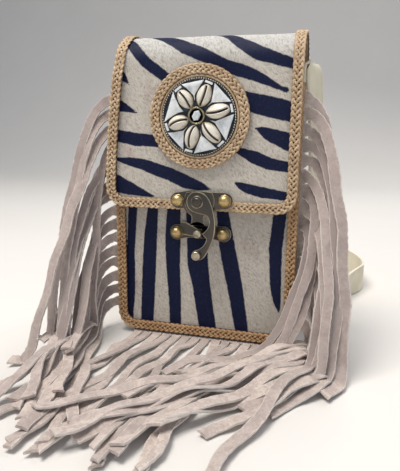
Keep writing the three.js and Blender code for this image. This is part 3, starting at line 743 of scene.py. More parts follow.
@dataclass(frozen=True)
class ResinFinish:
    """Blue-black resin with faint clouds."""

    base: Colour = paint(24, 36, 48)
    cloud: Colour = paint(60, 76, 88)

    def material(self) -> Material:
        """Dark base with clouds and fine scuffs.

        Returns:
            The resin.
        """
        s = Shader("resin")
        clouds = s.noise(s.place(), 160.0, 4.0, 0.6, 1.0)
        scuffs = s.noise(s.place(), 1200.0, 2.0)
        return s.dress(
            base_color=s.mix(s.step(clouds, 0.45, 0.8), self.base, self.cloud),
            roughness=0.3 + scuffs * 0.2,
            normal=s.bump(scuffs, 0.00006, 0.4),
        )


@dataclass(frozen=True)
class ShellFinish:
    """Glossy cream cowrie with a slit between pale lips, darkened as painted shade."""

    cream: Colour = paint(226, 221, 207)
    tint: Colour = paint(188, 172, 147)
    # slit: the painted shade colour of the slit.
    slit: Colour = paint(44, 30, 24)

    def material(self) -> Material:
        """Cream with soft tan clouds towards the rim, and painted shade in the slit from the slit mark.

        Returns:
            The shell.
        """
        s = Shader("shell")
        clouds = s.noise(s.place(), 260.0, 3.0)
        body = s.mix(s.step(clouds + s.mark("rim") * 0.35, 0.55, 0.95), self.cream, self.tint)
        # Painted shade: the slit mark darkens the slit.
        return s.dress(
            base_color=s.mix(s.mark("slit"), body, self.slit),
            roughness=0.26 + clouds * 0.12,
            coat_weight=0.25,
        )


@dataclass(frozen=True)
class InlayFinish:
    """Polished white bone or shell with faint bluish clouds."""

    name: str = "white_inlay"
    base: Colour = paint(230, 233, 234)
    cloud: Colour = paint(190, 199, 206)
    rough: float = 0.32

    def material(self) -> Material:
        """Clouds and fine pits.

        Returns:
            The inlay.
        """
        s = Shader(self.name)
        clouds = s.noise(s.place(), 300.0, 4.0, 0.65, 0.6)
        pits = s.noise(s.place(), 1600.0, 2.0)
        return s.dress(
            base_color=s.mix(s.step(clouds, 0.4, 0.75), self.base, self.cloud),
            roughness=self.rough + pits * 0.12,
            normal=s.bump(pits, 0.00006, 0.4),
        )


@dataclass(frozen=True)
class FloorFinish:
    """Plain pale studio floor."""

    pale: Colour = paint(226, 224, 221)
    grey: Colour = paint(220, 218, 215)

    def material(self) -> Material:
        """Nearly even, with a trace of mottling."""
        s = Shader("floor")
        return s.dress(base_color=s.mix(s.noise(s.place(), 6.0), self.pale, self.grey), roughness=0.85)


@dataclass(frozen=True)
class StripeChart:
    """Stripes of the hide. Each is a line of (x, height, half width) places, drawn."""

    flap: tuple[Stripe, ...] = (
        ((-52, 192, 2.8), (-47.1, 186.6, 3.1), (-35.7, 174.7, 3.3), (-20, 163.6, 3.1)),
        ((-44, 206, 2.5), (-32.3, 196.5, 4.0), (-12.2, 182.9, 4.0), (2.2, 176.8, 3.6), (13.8, 171.6, 3.4),
         (22, 169, 3.8), (30.2, 166.3, 3.2), (38.3, 162.4, 2.2), (45.5, 158.9, 1.2), (48.3, 158, 1.6)),
        ((0, 201, 2.4), (10.4, 194.6, 3.0), (20.9, 184.9, 3.6), (29.5, 179.7, 4.0), (32.1, 178.3, 4.0),
         (41.7, 175.1, 3.3), (58, 170.2, 2.7)),
        ((-57, 171.5, 2.9), (-51.2, 167, 2.6), (-46.3, 161.8, 0.2)),
        ((-60, 152, 4.0), (-53.5, 149.7, 3.6), (-40.7, 144.8, 0.2)),
        ((-62, 132.6, 3.7), (-54, 131.2, 3.8), (-42.8, 129.2, 4.0), (-28, 128.4, 3.6)),
        ((-62, 117.5, 0.6), (-56.2, 116.9, 0.9), (-47.7, 115.6, 2.6), (-38.4, 114.1, 3.5), (-29.1, 111, 4.0),
         (-20, 108.2, 4.1), (-11, 104.4, 4.3), (-2.1, 102, 3.0), (6.8, 99.8, 0.0)),
        ((-62, 103.4, 6.2), (-56.2, 101.4, 5.6), (-48.1, 98.8, 4.4), (-38.6, 96.1, 2.3), (-28.4, 93.2, 0.0)),
        ((22, 152.8, 5.2), (26.6, 151.9, 5.4), (38.8, 149, 5.9), (58, 144.6, 5.6)),
        ((32, 136.7, 0.6), (35.3, 135.5, 2.2), (39.4, 133.5, 3.6), (50, 129.7, 5.0), (58, 127, 5.6)),
        ((20, 124.6, 1.8), (22.1, 123.8, 2.0), (31.8, 120, 3.8), (40.1, 116.6, 3.6), (58, 113.8, 2.6)),
        ((20.9, 104.6, 0.8), (23.9, 103, 2.2), (28.2, 101.5, 3.0), (36.6, 99.6, 3.3), (58, 97, 2.2)),
        ((-50, 222, 3.0), (-20, 214, 4.0), (10, 212, 3.4), (58, 206, 4.0)),
        ((-58, 236, 4.0), (-6, 228, 4.4), (40, 228, 0.4)),
        ((-20, 246, 0.4), (24, 242, 4.0), (58, 244, 4.6)),
    )
    panel: tuple[Stripe, ...] = (
        ((-47.4, 100, 3.2), (-48.1, 84.9, 3.2), (-50.1, 56.5, 2.9), (-50.4, 27, 3.0), (-52.1, 6, 2.5)),
        ((-33.4, 100, 3.4), (-34.2, 85.6, 3.6), (-35.9, 67, 4.5), (-37.3, 43, 4.8), (-39.1, 4, 4.5)),
        ((-19.6, 100, 4.2), (-20, 86.4, 4.5), (-20.6, 68, 5.3), (-20.6, 49.2, 4.8), (-19.2, 25.2, 4.3),
         (-18.7, 4, 3.9)),
        ((-10, 94, 2.6), (-8.5, 83.4, 3.4), (-4.6, 67.2, 6.5), (-3.8, 50.6, 7.0), (-1.3, 36.6, 6.0),
         (3.9, 4, 5.8)),
        ((10, 100, 3.6), (12, 84.5, 3.9), (14.8, 65.8, 5.0), (17.7, 52.3, 5.3), (21.5, 34, 4.9),
         (26.9, 4, 4.3)),
        ((48.6, 100, 3.9), (47.5, 87.3, 4.0), (45.6, 65, 4.1), (46.5, 41.1, 3.5), (47.8, 31, 2.5),
         (49.6, 23, 0.4)),
    )

    @staticmethod
    def depth(x: Array, height: Array, stripes: Sequence[Stripe]) -> Array:
        """How far inside the nearest stripe each place is; less than 0 is outside.

        It is the greatest, over all spans of the stripes, of the half width there less the distance to it.

        Args:
            x: Places across the hide.
            height: Places up the hide.
            stripes: The stripes' lines.

        Returns:
            The depths.
        """
        lines = [np.array(stripe, dtype=float) for stripe in stripes]
        starts = np.concatenate([line[:-1] for line in lines])
        steps = np.concatenate([line[1:] - line[:-1] for line in lines])
        spots = np.stack([x.ravel(), height.ravel()], axis=1)[:, None]
        share = ((spots - starts[:, :2]) * steps[:, :2]).sum(axis=-1) / (steps[:, :2] ** 2).sum(axis=-1)
        share = np.clip(share, 0.0, 1.0)
        away = np.linalg.norm(spots - starts[:, :2] - share[..., None] * steps[:, :2], axis=-1)
        return (starts[:, 2] + share * steps[:, 2] - away).max(axis=1).reshape(x.shape)


@dataclass
class Shell:
    """The bag's body: front wall, back wall and the band between them."""

    half_width: float = 55.5
    panel_half: float = 57.5
    panel_base: float = 2.4
    panel_corner: float = 11.0
    corner: float = 12.0
    top: float = 172.0
    depth: float = 24.0
    hide: float = 2.0
    wall: float = 1.6
    gap: float = 0.3
    sag: float = 2.4
    ripple: float = 0.2
    swell: float = 1.6
    swell_top: float = 140.0
    chart: StripeChart = StripeChart()
    hair: HideFinish = HideFinish()
    suede: SuedeFinish = SuedeFinish("band_suede")
    leather: LeatherFinish = LeatherFinish(
        "back_leather", paint(74, 60, 52), paint(52, 42, 37), paint(104, 86, 74)
    )

    def rippled(self, share: Array, z: Array) -> Array:
        """Outward shift of the front wall: a parabola across times a squared sine of the height."""
        return self.ripple * (1 - share**2) * np.sin(0.08 * z) ** 2

    def swollen(self, share: Array, z: Array) -> Array:
        """Outward shift of the back wall: a squared parabola across times a squared sine of the height."""
        return self.swell * (1 - share**2) ** 2 * np.sin(np.pi * np.clip(z / self.swell_top, 0, 1)) ** 2

    def panel(
        self, half: float, base: float, corner: float, bulge: Callable[[Array, Array], Array]
    ) -> Surface:
        """A hide or leather wall as a closed sheet.

        Rows go up; each is a ring, across the outside and back across the inside. The half width is drawn in
        along a quarter circle below the corner, and the bulge moves both faces outwards.

        Args:
            half: Half width above the corners.
            base: Height of the lower edge.
            corner: Radius of the lower corners.
            bulge: Outward shift at a share of the half width and a height.

        Returns:
            The sheet in local axes: across, up and out.
        """
        z = rows_up(base, corner, self.top, 1.2, 14)[:, None]
        share, outside = round_trip(96, 24)
        x = share * narrowed(z, base, half, corner)
        out = self.depth / 2 + self.hide * outside + bulge(share, z)
        rings = np.stack(np.broadcast_arrays(x, z, out), axis=-1)
        rim = ease(np.abs(share), 0.985, 1.0)
        return Surface.tube(rings, across=x, run=z, edge=rim, inner=1 - outside)

    def front(self) -> None:
        """Makes the front wall, with its stripes as a mark."""
        sheet = self.panel(self.panel_half, self.panel_base, self.panel_corner, self.rippled)
        across, run = sheet.marks["across"], sheet.marks["run"]
        sheet.marks["stripe"] = self.chart.depth(across, run, self.chart.panel)
        piece = sheet.facing(0.0).build("front_wall", self.hair.material(), "hide", ["front_panel"])

    def back(self) -> None:
        """Makes the back wall, which swells outwards a little in its middle."""
        sheet = self.panel(self.half_width, self.gap, self.corner, self.swollen)
        behind = replace(sheet, points=sheet.points * [1, 1, -1]).facing(0.0)
        piece = behind.build("back_wall", self.leather.material(), "back_leather", ["back_panel"])

    def band(self) -> None:
        """Makes the side and bottom band.

        Its middle line is a U. The section is as deep as the bag, and sinks in as a parabola up the sides.
        """
        half = self.half_width - self.wall / 2
        radius = self.corner - self.wall / 2
        turn = arc([half - radius, self.corner], radius, -90, 0, 14)
        right = np.concatenate([turn, [[half, 60.0], [half, self.top]]])
        line = spaced(np.concatenate([right[::-1], right * [-1, 1]]), 2.0)
        ahead = travels(line)
        path = np.insert(line, 1, 0.0, axis=1)
        inward = np.stack([ahead[:, 1], np.zeros(len(line)), -ahead[:, 0]], axis=1)
        across = np.broadcast_to([0.0, 1.0, 0.0], path.shape)
        share, outside = round_trip(13, 13)
        sunk = self.sag * ease(line[:, 1], 16, 70)[:, None] * (1 - share**2)
        deep = np.broadcast_to(share * (self.depth / 2 - self.gap), sunk.shape)
        section = np.stack([deep, (0.5 - outside) * self.wall + sunk], axis=-1)
        band = Surface.carried(path, across, inward, section, side=np.abs(share))
        piece = band.build("side_band", self.suede.material(), "suede", ["gusset"])
        flat = ((self.depth - 2 * self.gap) * MM, runs_along(line)[-1] * MM)

    def build(self) -> None:
        """Makes the two walls and the band."""
        self.front()
        self.back()
        self.band()


@dataclass
class FlapLine:
    """The flap's middle line: up the front from the hem, over a half ellipse, and down the back."""

    half_width: float = 57.0
    hem: float = 88.0
    shoulder: float = 176.0
    back_hem: float = 140.0
    front_y: float = -19.4
    back_y: float = 15.3
    crown: float = 13.8
    corner: float = 9.0
    thick: float = 2.0
    left_hem: float = 61.8
    lean_slope: float = 0.02
    lean_curve: float = 0.0008

    def __post_init__(self) -> None:
        """Works out the lengths of the three stretches."""
        reach = (self.back_y - self.front_y) / 2
        middle = (self.back_y + self.front_y) / 2
        self._crown = arc((middle, self.shoulder), (-reach, self.crown), 0, 180, 721)
        self._crown_runs = runs_along(self._crown)
        self.front_run = self.shoulder - self.hem
        self.crown_run = float(self._crown_runs[-1])
        self.length = self.front_run + self.crown_run + self.shoulder - self.back_hem

    def at(self, run: Array) -> tuple[Array, Array]:
        """Place and outward direction on the line.

        Args:
            run: Distances from the hem.

        Returns:
            The (y, z) places and the unit (y, z) directions out of the flap.
        """
        on_crown = np.clip(run - self.front_run, 0.0, self.crown_run)
        y = np.interp(on_crown, self._crown_runs, self._crown[:, 0])
        z = np.interp(on_crown, self._crown_runs, self._crown[:, 1])
        z = z + np.minimum(run - self.front_run, 0.0) - np.maximum(run - self.front_run - self.crown_run, 0.0)
        ahead = unit(np.gradient(self._crown, axis=0))
        ny = np.interp(on_crown, self._crown_runs, -ahead[:, 1])
        nz = np.interp(on_crown, self._crown_runs, ahead[:, 0])
        return np.stack([y, z], axis=-1), unit(np.stack([ny, nz], axis=-1))

    def lean(self, x: Array, run: Array) -> Array:
        """X on the flap, whose left edge leans in towards the crown as a parabola.

        Args:
            x: X between upright edges.
            run: Distances from the hem.

        Returns:
            X between the real edges.
        """
        up = np.minimum(run, self.front_run + self.crown_run / 4)
        left = self.left_hem - self.lean_slope * up - self.lean_curve * up**2
        return np.where(x < 0, x * left / self.half_width, x)

    def points(self, x: Array, run: Array, lift: Array) -> tuple[Array, Array]:
        """Places above the middle line.

        Args:
            x: X between upright edges.
            run: Distances from the hem.
            lift: Heights above the line.

        Returns:
            The (x, y, z) places and the directions out of the flap there.
        """
        flat, out = self.at(run)
        y, z = np.moveaxis(flat + out * lift[..., None], -1, 0)
        return np.stack([self.lean(x, run), y, z], axis=-1), np.insert(out, 0, 0.0, axis=-1)


@dataclass
class Flap:
    """The hide flap: one closed sheet along the flap line."""

    line: FlapLine
    step: float = 1.1
    wave: float = 0.12
    chart: StripeChart = StripeChart()
    hair: HideFinish = HideFinish()

    def build(self) -> None:
        """Makes the flap.

        Rows follow the line from the hem; each is a ring across the outside and back across the inside. The
        sheet waves a little, as a product of sines.
        """
        line = self.line
        rows = rows_up(0.0, line.corner, line.length, self.step, 12)[:, None]
        share, outside = round_trip(96, 24)
        x = share * narrowed(rows, 0.0, line.half_width, line.corner)
        run = np.broadcast_to(rows, x.shape)
        wave = self.wave * np.sin(0.11 * x + 0.5) * np.sin(0.07 * run)
        spots, _ = line.points(x, run, (outside - 0.5) * line.thick + wave)
        # crown: share of the painted light on the flap's top, rising over the shoulder and staying on down
        # the back.
        crown = ease(run, line.front_run - 14, line.front_run + 16)
        sheet = Surface.tube(spots, across=spots[..., 0], run=run, crown=crown, inner=1 - outside)
        sheet.marks["stripe"] = self.chart.depth(spots[..., 0], line.hem + run, self.chart.flap).ravel()
        piece = sheet.build("hide_flap", self.hair.material(), "hide", ["flap"])


@dataclass
class Lacing:
    """Flat lacing plaited from five laces, round the two hide edges and the medallion."""

    front_width: float = 6.8
    flap_width: float = 7.0
    ring_outer: float = 30.9
    thick: float = 3.6
    pressed: float = 2.0
    crown: float = 1.4
    overhang: float = 1.3
    gap: float = 0.3
    step: float = 0.6
    period: float = 17.0
    laces: int = 5
    border: float = 1.3
    lace: float = 1.68
    lace_level: float = 0.56
    lace_rise: float = 0.17
    lace_thick: float = 0.22
    core_wide: float = 0.8
    core_tall: float = 0.42
    finish: LacingFinish = LacingFinish()
    front_finish: LacingFinish = LacingFinish("front_lacing", paint(165, 128, 90), paint(190, 157, 118))

    def plait(self, path: Array, up: Array, width: float, thick: Array, loop: bool = False) -> Surface:
        """Laces over a near-black sheet that paints the shade in the gaps between them.

        Each lace swings across the band as a sine, and rises and dips as a sine of four times the angle. The
        laces are a fifth of a turn apart, so each goes over and under the others by turns.

        Args:
            path: The foot of the lacing, on the hide.
            up: Directions out of the hide.
            width: Width over the laces.
            thick: Height over the laces, at each place.
            loop: The lacing is a ring.

        Returns:
            The laces and the near-black sheet of painted shade under them.
        """
        across = unit(np.cross(up, travels(path, loop)))
        along = runs_along(path)
        whole = along[-1] + (np.linalg.norm(path[0] - path[-1]) if loop else 0.0)
        turns = max(1, round(whole / self.period))
        angle = 2 * np.pi * turns * along / whole
        swing = width / 2 - 0.6 * self.lace
        parts = []
        for strand in range(self.laces):
            phase = angle + 2 * np.pi * strand / self.laces
            height = thick * (self.lace_level + self.lace_rise * np.sin((self.laces - 1) * phase))
            spots = path + (swing * np.sin(phase))[:, None] * across + height[:, None] * up
            parts.append(self.strand(spots, up, thick, loop))
        # A flat near-black sheet under the laces: painted shade seen through their gaps.
        half = self.core_wide
        base = np.array([[-half, 0.0], [half, 0.0], [half, 1.0], [-half, 1.0]])
        core = base * np.stack([np.full(len(path), width / 2), self.core_tall * thick], axis=1)[:, None]
        parts.append(Surface.carried(path, across, up, core, loop).marked(core=1.0))
        return Surface.joined(parts)

    def strand(self, spots: Array, up: Array, thick: Array, loop: bool) -> Surface:
        """One lace: a flat section with a crowned top, carried along its line.

        Args:
            spots: Places along its middle.
            up: Directions out of the hide.
            thick: Height over all the laces, at each place.
            loop: The lace is a ring.

        Returns:
            The lace, marked towards its two edges.
        """
        heading = travels(spots, loop)
        lean = unit(np.cross(up, heading))
        share = np.array([-1.0, -0.72, 0.0, 0.72, 1.0, 0.7, 0.0, -0.7])
        level = np.array([0.0, 0.85, 1.15, 0.85, 0.0, -0.8, -0.9, -0.8])
        wide = np.broadcast_to(share * self.lace / 2, (len(spots), len(share)))
        section = np.stack([wide, level * self.lace_thick * thick[:, None]], axis=-1)
        return Surface.carried(spots, lean, unit(np.cross(heading, lean)), section, loop, edge=np.abs(share))

    def corner_line(self, half: float, foot: float, bend: float, top: float) -> Array:
        """Even steps along a U with round corners, from the top of its left edge to that of its right."""
        right = np.vstack([[0, foot], arc([half - bend, foot + bend], bend, -90, 0, 16), [half, top]])
        return spaced(np.concatenate([(right * [-1, 1])[::-1], right[1:]]), self.step)

    def front(self, shell: Shell) -> None:
        """Makes the lacing round the front wall.

        Args:
            shell: The bag's body.
        """
        inset = self.front_width / 2 - self.overhang
        half = shell.panel_half - inset
        foot = shell.panel_base + self.front_width / 2
        line = self.corner_line(half, foot, shell.panel_corner - inset, shell.top - 10)
        path = np.insert(line, 1, -(shell.depth / 2 + shell.hide + self.gap), axis=1)
        up = np.broadcast_to([0.0, -1.0, 0.0], path.shape)
        plait = self.plait(path, up, self.front_width, np.full(len(path), self.thick))
        plait.build("front_lacing", self.front_finish.material(), "lacing", ["front_braid"])

    def flap(self, line: FlapLine) -> None:
        """Makes the lacing round the flap, pressed flat under the hasp and pulled thin over the crown.

        Args:
            line: The flap's line.
        """
        inset = self.flap_width / 2 - self.overhang
        edge = self.corner_line(line.half_width - inset, inset, line.corner - inset + 2, line.length)
        spots, up = line.points(edge[:, 0], edge[:, 1], np.full(len(edge), line.thick / 2 + self.gap))
        at_hem = 1 - ease(edge[:, 1], inset + 1, inset + 4)
        under = at_hem * (1 - ease(np.abs(edge[:, 0]), 21.5, 25.0))
        over = ease(edge[:, 1], line.front_run - 10, line.front_run)
        thick = self.thick + (self.pressed - self.thick) * under + (self.crown - self.thick) * over
        plait = self.plait(spots, up, self.flap_width, thick)
        plait.build("flap_lacing", self.finish.material(), "lacing", ["flap_braid"])

    def ring(self, medallion: "Medallion") -> None:
        """Makes the lacing round the medallion: a ring of the same plait, inside it a plain leather border.

        Args:
            medallion: The medallion.
        """
        inner, outer = medallion.radius + medallion.gap, self.ring_outer
        middle = (inner + self.border + outer) / 2
        count = round(2 * np.pi * middle / self.step)
        flat = arc([0.0, 0.0], middle, 0.0, 360.0 * (1 - 1 / count), count)
        path = np.insert(flat, 2, 0.0, axis=1)
        up = np.broadcast_to([0.0, 0.0, 1.0], path.shape)
        plait = self.plait(path, up, outer - inner - self.border, np.full(count, self.thick), loop=True)
        rise = np.array([[0.0, 0.0], [0.1, 2.2], [0.5, 2.5], [1.0, 2.2], [1.0, 0.0], [0.0, 0.0]])
        border = Surface.turned(rise * [self.border, 1.0] + [inner, 0.0], 120)
        both = Surface.joined([plait, border]).facing(medallion.front, medallion.x, medallion.z)
        both.build("medallion_lacing", self.finish.material(), "lacing", ["medallion_braid"])


@dataclass
class Medallion:
    """Resin disc with cowries, white tiles and bars, a stone in a ring, and a beaded rim."""

    x: float = -1.7
    z: float = 142.8
    front: float = 20.7
    radius: float = 22.6
    rim: float = 0.9
    face: float = 1.8
    flower_x: float = -1.2
    flower_z: float = 0.8
    gap: float = 0.3
    beads: int = 96
    shell_inner: float = 5.2
    shell_clear: float = 3.4
    shell_width: float = 8.5
    shell_height: float = 4.6
    tile_tip: float = 8.6
    tile_clear: float = 9.5
    tile_reach: float = 21.3
    tile_thick: float = 1.2
    stone_long: float = 3.4
    stone_wide: float = 2.5
    stone_turn: float = 62.0
    shell_angles: tuple[int, ...] = (12, 69, 127, 200, 257, 313)
    resin: ResinFinish = ResinFinish()
    shell: ShellFinish = ShellFinish()
    inlay: InlayFinish = InlayFinish()
    glass: InlayFinish = InlayFinish("stone", paint(214, 220, 224), paint(170, 182, 190), 0.12)
    brass: MetalFinish = MetalFinish("ring_brass", paint(124, 114, 86), paint(206, 196, 164), 0.42, 0.36)
    silver: MetalFinish = MetalFinish("silver_beads", paint(176, 172, 164), paint(236, 234, 228), 0.3, 0.5)

    def disc(self) -> None:
        """Makes the turned disc with its raised rim."""
        r, rim, face = self.radius, self.rim, self.face
        profile = np.array([
            [0, 0], [r - 0.2, 0], [r, 0.2], [r, face + 0.5], [r - 0.3, face + 0.8], [r - rim, face + 0.8],
            [r - rim, face + 0.05], [r - rim - 0.2, face], [r * 0.5, face], [0, face],
        ])
        disc = Surface.turned(profile, 96).facing(self.front, self.x, self.z)
        disc.build("resin_disc", self.resin.material(), "resin", ["medallion_disc"])

    def bezel(self) -> None:
        """Makes the small round beads that stand side by side along the rim."""
        size = np.pi * self.radius / self.beads * 0.78
        bead = Surface.turned(arc((0.0, 0.0), size, -90, 90, 6), 8)
        angles = 2 * np.pi * np.arange(self.beads) / self.beads
        middle = self.radius - self.rim / 2
        level = np.full(self.beads, self.face + 0.75)
        centres = np.stack([middle * np.cos(angles), middle * np.sin(angles), level], axis=1)
        beads = Surface.joined(bead.moved(centre) for centre in centres)
        beads.facing(self.front, self.x, self.z).build("bead_rim", self.silver.material(), "dark_brass")

    def reach(self, radius: float, degrees: float) -> float:
        """Distance from the flower's middle to a circle round the disc's middle, in a direction."""
        offset = complex(self.flower_x, self.flower_z) / bearing(degrees)
        return float(np.sqrt(radius**2 - offset.imag**2) - offset.real)

    def wedge(self, start: float, stop: float) -> Surface:
        """A white tile between two shells.

        Its tip points at the stone, its sides pass two places on an ellipse round each shell, and its outer
        edge is straight. Places are complex numbers, turned by multiplying them with one of length 1.

        Args:
            start: Direction of the shell before it, in degrees.
            stop: Direction of the shell after it.

        Returns:
            The tile in its own axes.
        """
        rounds = np.array([1.75, 0.95])
        beside = 11.8 + 7.3 * np.cos(rounds) + 5.5j * np.sin(rounds)
        sides = (start + self.tile_clear, stop - self.tile_clear)
        corners = [self.reach(self.tile_reach, angle) * bearing(angle) for angle in sides]
        tip = [self.tile_tip * bearing((start + stop) / 2)]
        before, after = beside * bearing(start), beside.conj()[::-1] * bearing(stop)
        ring = np.concatenate([tip, before, corners, after])
        return Surface.plate(np.stack([ring.real, ring.imag], axis=1), self.tile_thick, 0.15)

    def stone(self, place: Place) -> None:
        """Makes the stone, a long six-sided plate with wide facets round its top, and the ring round it.

        Args:
            place: Distance in front, x and z of the flower's middle.
        """
        rounded = arc((4.6, 1.6), 0.55, -35, 215, 14)
        profile = np.concatenate([[[5.1, 0.0]], rounded, [[4.1, 0.35]]])
        # The inner lip is marked deep: near-black painted shade round the stone.
        sunk = np.array([0.0] * 13 + [0.3, 1.0, 1.0])[:, None]
        ring = Surface.turned(profile, 64, deep=sunk, edge=np.array(0.42))
        ring.facing(*place).build("stone_ring", self.brass.material(), "dark_brass", ["centre_ring"])
        corners = arc((0.0, 0.0), 1.0, 0.0, 300.0, 6) * [self.stone_long, self.stone_wide]
        cut = Surface.plate(corners, 1.9, 0.7).spun(self.stone_turn).facing(place[0] + 0.4, *place[1:])
        cut.build("middle_stone", self.glass.material(), "stone", ["centre_stone"], crease=15)

    def cowrie(self, length: float) -> Surface:
        """A cowrie lying along the first axis.

        Its half width shrinks as a power of a half ellipse, sharper at the inner end, and it is domed as the
        root of a parabola. A curved slit runs the whole length between two raised lips with fine teeth.

        Args:
            length: How long it is.

        Returns:
            The closed shell in its own axes.
        """
        s = np.sin(np.linspace(-np.pi / 2, np.pi / 2, 60))[:, None]
        t = np.sin(np.linspace(-np.pi / 2, np.pi / 2, 49))[None, :]
        taper = np.maximum(1 - s**2, 0.0) ** (0.62 - 0.16 * s)
        x = self.shell_inner + length / 2 * (1 + s)
        y = self.shell_width / 2 * t * taper
        dome = taper**0.8 * np.sqrt(np.maximum(1 - t**2, 0.0)) ** 0.9
        away = y - 0.5 + 1.2 * (1 - s**2)
        reach = ease(1 - np.abs(s), 0.02, 0.2)
        cleft = np.exp(-((away / 0.55) ** 2)) * reach
        lips = np.exp(-(((np.abs(away) - 1.15) / 0.5) ** 2)) * reach
        teeth = (0.5 + 0.5 * np.cos(2 * np.pi * x / 0.8)) * np.exp(-((away / 0.95) ** 2)) * reach
        high = self.shell_height * dome - 1.7 * cleft + 0.3 * lips - 0.2 * teeth
        upper = np.stack(np.broadcast_arrays(x, y, np.maximum(high, 0.0) * (dome > 1e-6)), axis=-1)
        lower = upper[:, ::-1] * [1, 1, 0]
        # The slit mark: painted shade in the slit and in the grooves between the teeth.
        slit = np.clip(1.3 * cleft + 0.25 * teeth, 0.0, 1.0) ** 1.4
        rim = np.broadcast_to(1 - dome, slit.shape)
        rings = np.concatenate([upper, lower[:, 1:-1]], axis=1)
        belly = ((0, 0), (0, lower.shape[1] - 2))
        return Surface.tube(rings, slit=np.pad(slit, belly), rim=np.pad(rim, belly))

    def build(self) -> None:
        """Makes the disc, beads, shells, tiles, ring and stone, and dresses the bars."""
        self.disc()
        self.bezel()
        level = self.front + self.face + self.gap
        place = (level, self.x + self.flower_x, self.z + self.flower_z)
        shell = self.shell.material()
        white = self.inlay.material()
        angles = (*self.shell_angles, self.shell_angles[0] + 360)
        for number, (degrees, after) in enumerate(zip(angles, angles[1:]), 1):
            length = self.reach(self.radius, degrees) - self.shell_clear - self.shell_inner
            lying = self.cowrie(length).spun(degrees).facing(*place)
            lying.build(f"shell_{number}", shell, "shell", [f"cowrie_{number}"], crease=60)
            tile = self.wedge(degrees, after).facing(*place)
            tile.build(f"wedge_{number}", white, "white_inlay", [f"tile_{number}"])
            dress_node(f"chip_{number}", white)
        self.stone(place)


